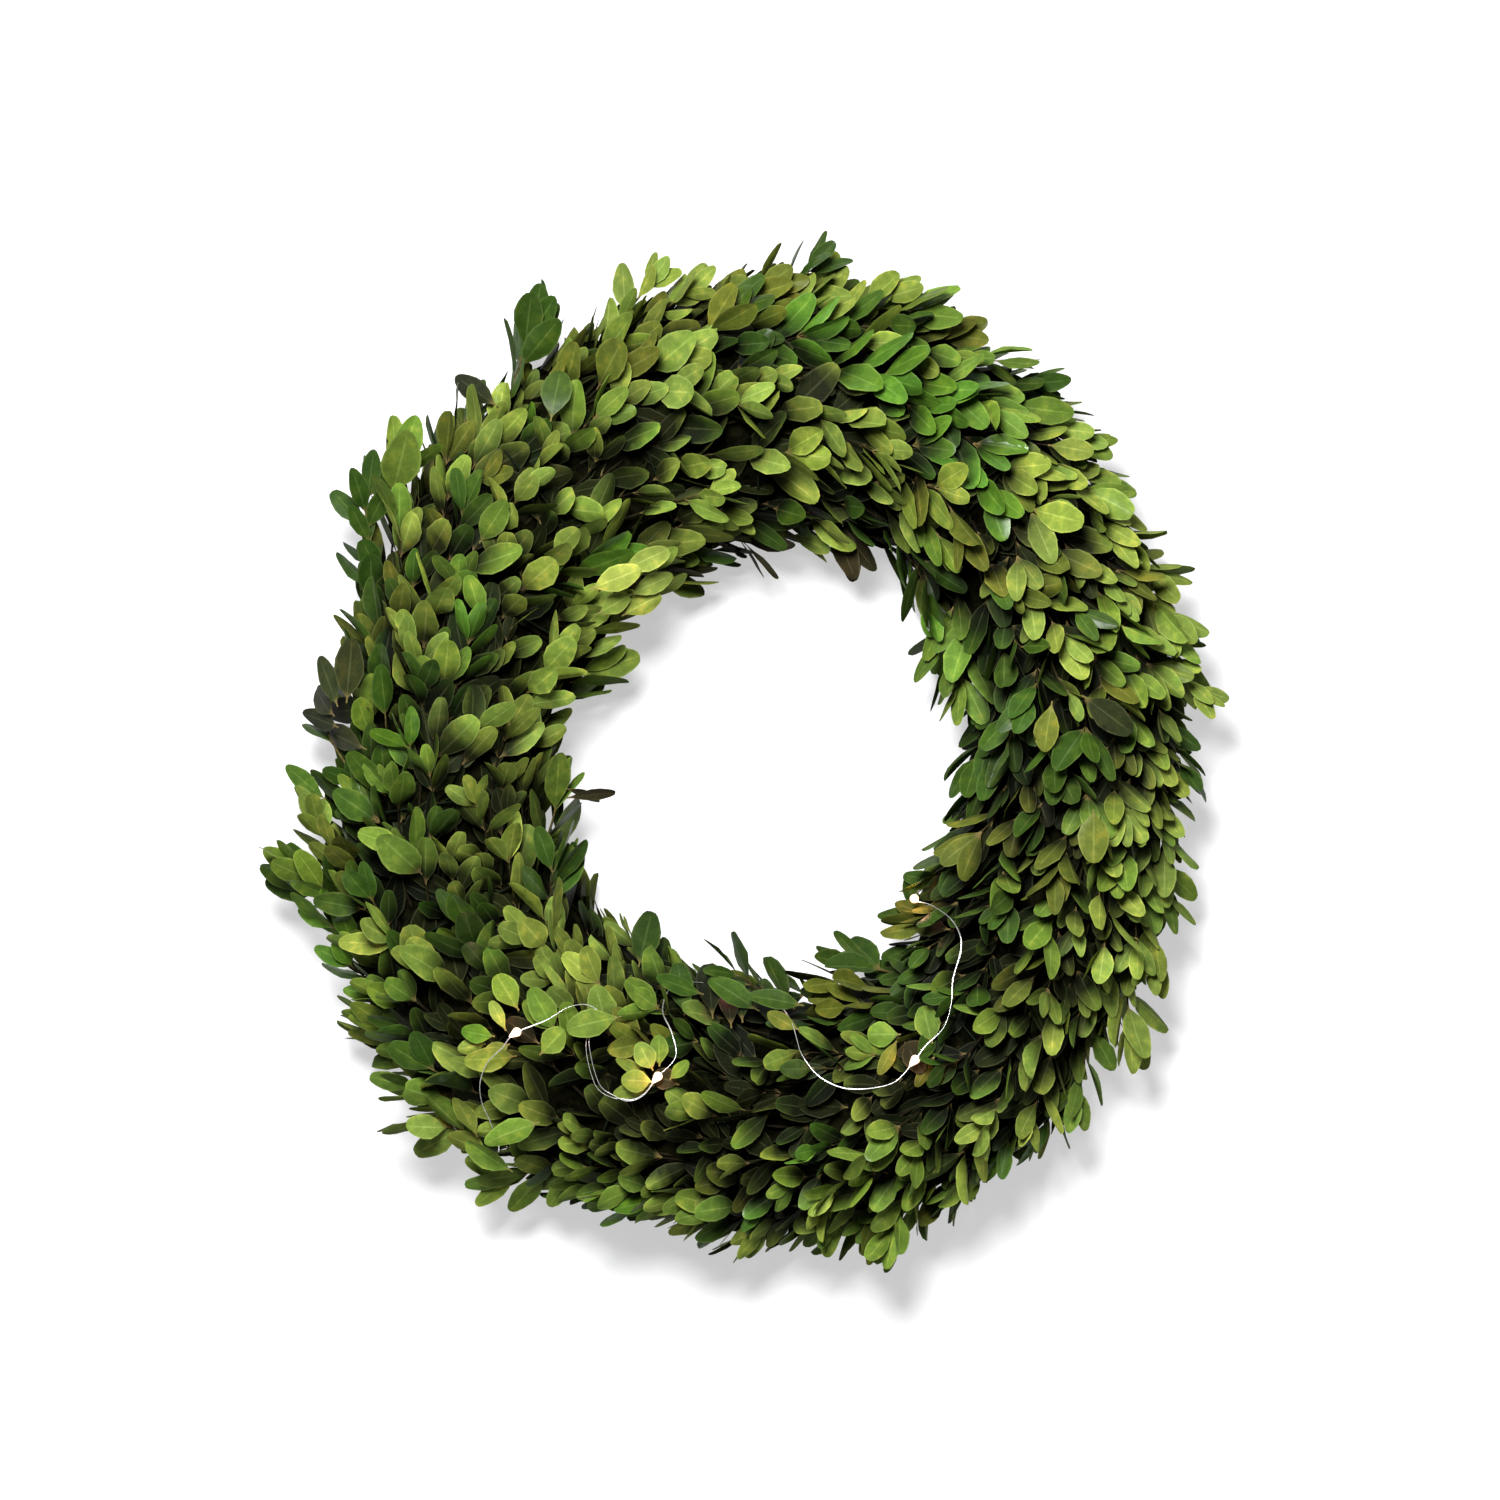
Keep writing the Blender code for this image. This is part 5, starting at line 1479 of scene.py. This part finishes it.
def turned_mesh(name, profile, sides):
    """Solid of revolution about Z from a list of radius and height pairs, closed at both ends."""
    turns = [2 * math.pi * k / sides for k in range(sides)]
    bm = bmesh.new()
    made = [[bm.verts.new((radius * math.cos(turn), radius * math.sin(turn), height)) for turn in turns]
            for radius, height in profile]
    for ring, following in zip(made, made[1:]):
        for k in range(sides):
            beside = (k + 1) % sides
            bm.faces.new((ring[k], ring[beside], following[beside], following[k]))
    bm.faces.new(made[0])
    bm.faces.new(made[-1])
    bmesh.ops.recalc_face_normals(bm, faces=bm.faces)
    mesh = bpy.data.meshes.new(name)
    bm.to_mesh(mesh)
    bm.free()
    mesh.shade_smooth()
    mesh.set_sharp_from_angle(angle=BEAD_SHARP_ANGLE)
    return mesh


def rounded_piece(name, node, width, material):
    """A finer copy of a solid's shape, with its edges rounded."""
    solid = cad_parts[node]
    mesh = solid.data.copy()
    mesh.name = name
    bm = bmesh.new()
    bm.from_mesh(mesh)
    bmesh.ops.remove_doubles(bm, verts=bm.verts, dist=MERGE_DISTANCE)
    bmesh.ops.dissolve_limit(bm, angle_limit=FLAT_ANGLE, verts=bm.verts, edges=bm.edges)
    edges = [edge for edge in bm.edges
             if len(edge.link_faces) == 2 and edge.calc_face_angle() > BEVEL_ANGLE]
    bmesh.ops.bevel(bm, geom=edges, offset=width, segments=BEVEL_SEGMENTS, profile=0.5, affect="EDGES",
                    clamp_overlap=True)
    bm.to_mesh(mesh)
    bm.free()
    mesh.materials.clear()
    mesh.materials.append(material)
    mesh.shade_smooth()
    mesh.set_sharp_from_angle(angle=BOX_SHARP_ANGLE)
    finish_piece(link(bpy.data.objects.new(name, mesh)), node)


# Settings


def colour_setting(name, description, default):
    return FloatVectorProperty(name=name, description=description, subtype="COLOR", size=3,
                               min=0, max=1, default=default)


def distance_setting(name, description, default):
    return FloatProperty(name=name, description=description, subtype="DISTANCE", unit="LENGTH",
                         default=default)


def power_setting(name, description, default):
    return FloatProperty(name=name, description=description, subtype="POWER", unit="POWER",
                         default=default)


def share_setting(name, description, default):
    return FloatProperty(name=name, description=description, subtype="FACTOR", min=0, max=1,
                         default=default)


def plain_setting(name, description, default):
    return FloatProperty(name=name, description=description, default=default)


class LeafWreathFoliage(bpy.types.PropertyGroup):
    """Sizes and colours of the sprigs."""

    seed: IntProperty(name="Seed", description="Start of the random draws", default=7)
    sprig_spacing: distance_setting("Sprig spacing", "Distance between sprig tips along a lane", 27 * MM)
    sprig_length: distance_setting("Sprig length", "Length of a sprig from the bound stems", 58 * MM)
    leaf_length: distance_setting("Leaf length", "Length of a full leaf with its stalk", 31.5 * MM)
    leaf_width: distance_setting("Leaf width", "Width of a full leaf", 13.7 * MM)
    leaf_thickness: distance_setting("Leaf thickness", "Half the thickness of a blade", 0.25 * MM)
    twig_diameter: distance_setting("Twig diameter", "Thickness of a sprig's stem", 1.3 * MM)
    bare_share: share_setting("Bare share", "Share of the leaves that are missing", 0.2)
    # Painted shade: how far leaves and their gloss darken deeper in the foliage
    inner_shade: share_setting("Inner shade", "How much darker the leaves far down a sprig are", 0.96)
    pale: colour_setting("Pale", "Palest leaves", (0.235, 0.315, 0.048))
    yellow: colour_setting("Yellow green", "Yellow-green leaves", (0.185, 0.268, 0.036))
    mid: colour_setting("Mid green", "Plain green leaves", (0.12, 0.205, 0.023))
    bright: colour_setting("Bright green", "Saturated green leaves", (0.085, 0.195, 0.018))
    dark: colour_setting("Dark green", "Dark green leaves", (0.036, 0.078, 0.008))
    olive: colour_setting("Olive", "Olive leaves", (0.1, 0.125, 0.014))
    brown: colour_setting("Brown", "Leaves that have browned", (0.032, 0.028, 0.008))
    deep: colour_setting("Deep green", "The darkest glossy leaves", (0.022, 0.029, 0.007))


class LeafWreathLights(bpy.types.PropertyGroup):
    """Sizes and glow of the fairy lights."""

    strand_diameter: distance_setting("Strand diameter", "Thickness of one bare strand", 0.34 * MM)
    strand_gap: distance_setting("Strand gap", "Half the distance between the two strands", 0.19 * MM)
    parted_gap: distance_setting("Parted gap", "Half their distance where they part", 1.1 * MM)
    glow_colour: colour_setting("Glow colour", "Colour of the light at a bead's edge", (1.0, 0.42, 0.16))
    glow_strength: plain_setting("Glow strength", "Brightness of a bead", 2.2)
    spill_colour: colour_setting("Spill colour", "Colour of the light that a bead throws", (1.0, 0.4, 0.28))
    spill_power: power_setting("Light on leaves", "Power that each bead throws on its leaves", 0.014)


class LeafWreathStage(bpy.types.PropertyGroup):
    """Camera, lamps and floor."""

    camera_distance: distance_setting("Camera distance", "Height of the camera over the floor", 6.0)
    view_width: distance_setting("View width", "Width of the picture at the wreath", 0.8124)
    view_height: distance_setting("View height", "Height above the floor where the width holds", 0.045)
    key_power: power_setting("Key lamp", "Power of the large soft lamp", 107.0)
    sky_strength: plain_setting("Fill", "Brightness of the light from all round", 0.07)
    fill_power: power_setting("Side fill", "Power of each low lamp round the wreath", 6.0)
    floor_colour: colour_setting("Floor", "Colour of the studio floor", (0.52, 0.52, 0.525))
    floor_glow: plain_setting("Floor glow", "Light that comes up through the floor", 0.5)


class LeafWreathSettings(bpy.types.PropertyGroup):
    """All settings of the wreath."""

    foliage: PointerProperty(type=LeafWreathFoliage)
    lights: PointerProperty(type=LeafWreathLights)
    stage: PointerProperty(type=LeafWreathStage)


# Operators


class LEAFWREATH_OT_grow_bunches(bpy.types.Operator):
    """Grow the boxwood bunches, one piece each"""

    bl_idname = "leaf_wreath.grow_bunches"
    bl_label = "Grow Bunches"

    def execute(self, context):
        settings = context.scene.leaf_wreath.foliage
        rng = random.Random(settings.seed)
        materials = (
            leaf_material(),
            bark_material("twig_bark", (0.03, 0.02, 0.008), (0.12, 0.1, 0.03), 700.0, shaded=True),
            bark_material("cut_stem_bark", (0.03, 0.022, 0.012), (0.13, 0.1, 0.05), 500.0),
            # The bound stems' near-black colour is painted shade for the dark inside of the foliage, painted
            # paler near the floor
            bark_material("shaded_stems", (0.001, 0.001, 0.0006), (0.007, 0.007, 0.003), 260.0, sheen=0.0,
                          painted_low_light=(6, 5, 3.5)),
        )
        sprigs = plan_sprigs(settings, rng)
        leaves = grow_leaves(settings, sprigs, rng)
        if {leaf.bunch for leaf in leaves} != set(range(BUNCHES)):
            raise RuntimeError("a bunch has no leaves")
        for bunch in range(BUNCHES):
            build_bunch(settings, bunch, [leaf for leaf in leaves if leaf.bunch == bunch],
                        [sprig for sprig in sprigs if sprig.bunch == bunch], materials, rng)
        return {"FINISHED"}


class LEAFWREATH_OT_weld_frame(bpy.types.Operator):
    """Weld the two rails and their braces"""

    bl_idname = "leaf_wreath.weld_frame"
    bl_label = "Weld Frame"

    def execute(self, context):
        lacquer = handled_material("green_lacquer", (0.012, 0.035, 0.018), (0.05, 0.055, 0.05), 0.45, 0.38,
                                   metallic=0.5)
        clocks = [360 / RAIL_POINTS * step for step in range(RAIL_POINTS)]
        rails = [[frame_point(clock, FRAME_RADIUS + offset, RAIL_HEIGHT) for clock in clocks]
                 for offset in (-RAIL_OFFSET, RAIL_OFFSET)]
        wire_piece("frame_rails", rails, RAIL_WIRE, lacquer, "frame_wire", closed=True, sides=4)
        braces = []
        for brace in range(BRACES):
            clock = FIRST_BRACE_CLOCK + brace * 360 / BRACES
            braces.append([frame_point(clock, FRAME_RADIUS + offset, RAIL_HEIGHT)
                           for offset in (-RAIL_OFFSET, -RAIL_OFFSET / 2, 0, RAIL_OFFSET / 2, RAIL_OFFSET)])
        wire_piece("frame_braces", braces, BRACE_WIRE, lacquer, "frame_wire", sides=4)
        return {"FINISHED"}


class LEAFWREATH_OT_wrap_binding(bpy.types.Operator):
    """Wrap the binding wire round every bunch"""

    bl_idname = "leaf_wreath.wrap_binding"
    bl_label = "Wrap Binding Wire"

    def execute(self, context):
        coating = handled_material("coated_binding_wire", (0.004, 0.008, 0.003), (0.01, 0.014, 0.006),
                                   0.4, 0.7, sheen=0.08)
        wire_piece("wrapped_binding", [binding_route()], BINDING_WIRE, coating, "binding_wire")
        return {"FINISHED"}


class LEAFWREATH_OT_string_lights(bpy.types.Operator):
    """Lay the twin strands of the fairy lights and set their beads on them"""

    bl_idname = "leaf_wreath.string_lights"
    bl_label = "String Lights"

    def execute(self, context):
        settings = context.scene.leaf_wreath.lights
        silver = handled_material("silvered_wire", (0.82, 0.82, 0.8), (0.6, 0.58, 0.52), 0.3, 0.28, 0.85)
        strands = twin_strands(light_line(STRAND_STEP), settings.strand_gap, settings.parted_gap)
        wire_piece("light_strands", strands, settings.strand_diameter, silver, "light_wire")
        epoxy = glow_material(settings)
        profile = [(radius * MM, height * BEAD_HALF) for radius, height in BEAD_PROFILE]
        for number, (middle, ahead) in enumerate(led_places(), 1):
            mesh = turned_mesh("bead", profile, BEAD_SIDES)
            bead = link(bpy.data.objects.new(f"glowing_bead_{number}", mesh))
            bead.data.materials.append(epoxy)
            turn = ahead.to_track_quat("Z", "Y").to_matrix().to_4x4()
            bead.data.transform(Matrix.Translation(middle) @ turn)
            finish_piece(bead, f"led_bead_{number}")
            lamp = bpy.data.lights.new(f"bead_light_{number}", "POINT")
            lamp.energy = settings.spill_power * (1.0 if number in SHOWING_BEADS else LOW_BEAD_SPILL)
            lamp.color = settings.spill_colour
            lamp.shadow_soft_size = BEAD_LIGHT_RADIUS
            glow = link(bpy.data.objects.new(lamp.name, lamp))
            glow.location = middle + Vector((0, 0, BEAD_LIGHT_RISE))
        return {"FINISHED"}


class LEAFWREATH_OT_fit_battery_box(bpy.types.Operator):
    """Fit the battery box, its lid, cells and switch in the back"""

    bl_idname = "leaf_wreath.fit_battery_box"
    bl_label = "Fit Battery Box"

    def execute(self, context):
        plastic = handled_material("grey_moulded_plastic", (0.2, 0.21, 0.2), (0.27, 0.27, 0.26), 0.3, 0.5)
        steel = handled_material("cell_steel", (0.62, 0.62, 0.6), (0.5, 0.5, 0.5), 0.4, 0.25, 1.0)
        black = handled_material("black_switch_plastic", (0.02, 0.02, 0.02), (0.06, 0.06, 0.06), 0.3, 0.4)
        rounded_piece("battery_case", "battery_box", 0.5 * MM, plastic)
        rounded_piece("battery_cover", "battery_lid", 0.35 * MM, plastic)
        for number in (1, 2):
            rounded_piece(f"battery_cell_{number}", f"coin_cell_{number}", 0.3 * MM, steel)
        rounded_piece("switch_slider", "slide_switch", 0.3 * MM, black)
        return {"FINISHED"}


def area_lamp(name, size, energy, place):
    """A round soft lamp that shines on the middle of the floor."""
    light = bpy.data.lights.new(name, "AREA")
    light.shape = "DISK"
    light.size = size
    light.energy = energy
    lamp = link(bpy.data.objects.new(name, light))
    lamp.location = place
    lamp.rotation_euler = (-lamp.location).to_track_quat("-Z", "Y").to_euler()


class LEAFWREATH_OT_set_stage(bpy.types.Operator):
    """Set the floor, the lamps and the camera"""

    bl_idname = "leaf_wreath.set_stage"
    bl_label = "Set Stage"

    def execute(self, context):
        settings = context.scene.leaf_wreath.stage
        scene = context.scene
        bpy.ops.mesh.primitive_plane_add(size=FLOOR_SIZE, location=(0, 0, FLOOR_HEIGHT))
        floor = context.object
        floor.name = "studio_floor"
        material, tree, shader = start_material("floor_paper")
        feed(tree, shader, {
            "Base Color": (*settings.floor_colour, 1),
            "Emission Color": (1, 1, 1, 1),
            "Emission Strength": settings.floor_glow,
            "Roughness": 0.95,
            "Specular IOR Level": 0.1,
        })
        floor.data.materials.append(material)
        floor.visible_diffuse = False
        world = bpy.data.worlds.new("studio_air")
        world.use_nodes = True
        feed(world.node_tree, world.node_tree.nodes["Background"], {
            "Color": (0.97, 0.985, 1.0, 1), "Strength": settings.sky_strength,
        })
        scene.world = world
        area_lamp("key_lamp", KEY_SIZE, settings.key_power, KEY_PLACE)
        for number in range(FILL_LAMPS):
            place = ring_point(FILL_CLOCK + 360 * number / FILL_LAMPS, FILL_DISTANCE, FILL_HEIGHT)
            area_lamp(f"fill_lamp_{number + 1}", FILL_SIZE, settings.fill_power, place)
        camera = link(bpy.data.objects.new("camera", bpy.data.cameras.new("camera")))
        camera.location = MIDDLE + Vector((0, CAMERA_SHIFT, settings.camera_distance))
        width = camera.data.sensor_width
        camera.data.lens = width * (settings.camera_distance - settings.view_height) / settings.view_width
        camera.data.clip_end = CAMERA_REACH
        scene.camera = camera
        scene.view_settings.view_transform = "Standard"
        return {"FINISHED"}


class LEAFWREATH_PT_panel(bpy.types.Panel):
    """Settings and steps of the wreath"""

    bl_label = "Leaf Wreath"
    bl_idname = "LEAFWREATH_PT_panel"
    bl_space_type = "VIEW_3D"
    bl_region_type = "UI"
    bl_category = "Leaf Wreath"

    def draw(self, context):
        settings = context.scene.leaf_wreath
        for group in (settings.foliage, settings.lights, settings.stage):
            box = self.layout.box()
            for name in group.__annotations__:
                box.prop(group, name)
        for operator in STEPS:
            self.layout.operator(operator.bl_idname)


STEPS = (
    LEAFWREATH_OT_set_stage,
    LEAFWREATH_OT_weld_frame,
    LEAFWREATH_OT_wrap_binding,
    LEAFWREATH_OT_string_lights,
    LEAFWREATH_OT_fit_battery_box,
    LEAFWREATH_OT_grow_bunches,
)
CLASSES = (LeafWreathFoliage, LeafWreathLights, LeafWreathStage, LeafWreathSettings, *STEPS,
           LEAFWREATH_PT_panel)


def register():
    for item in CLASSES:
        bpy.utils.register_class(item)
    bpy.types.Scene.leaf_wreath = PointerProperty(type=LeafWreathSettings)


def unregister():
    del bpy.types.Scene.leaf_wreath
    for item in reversed(CLASSES):
        bpy.utils.unregister_class(item)


def main():
    register()
    bpy.ops.leaf_wreath.set_stage()
    bpy.ops.leaf_wreath.weld_frame()
    bpy.ops.leaf_wreath.wrap_binding()
    bpy.ops.leaf_wreath.string_lights()
    bpy.ops.leaf_wreath.fit_battery_box()
    bpy.ops.leaf_wreath.grow_bunches()


if __name__ == "__main__":
    main()
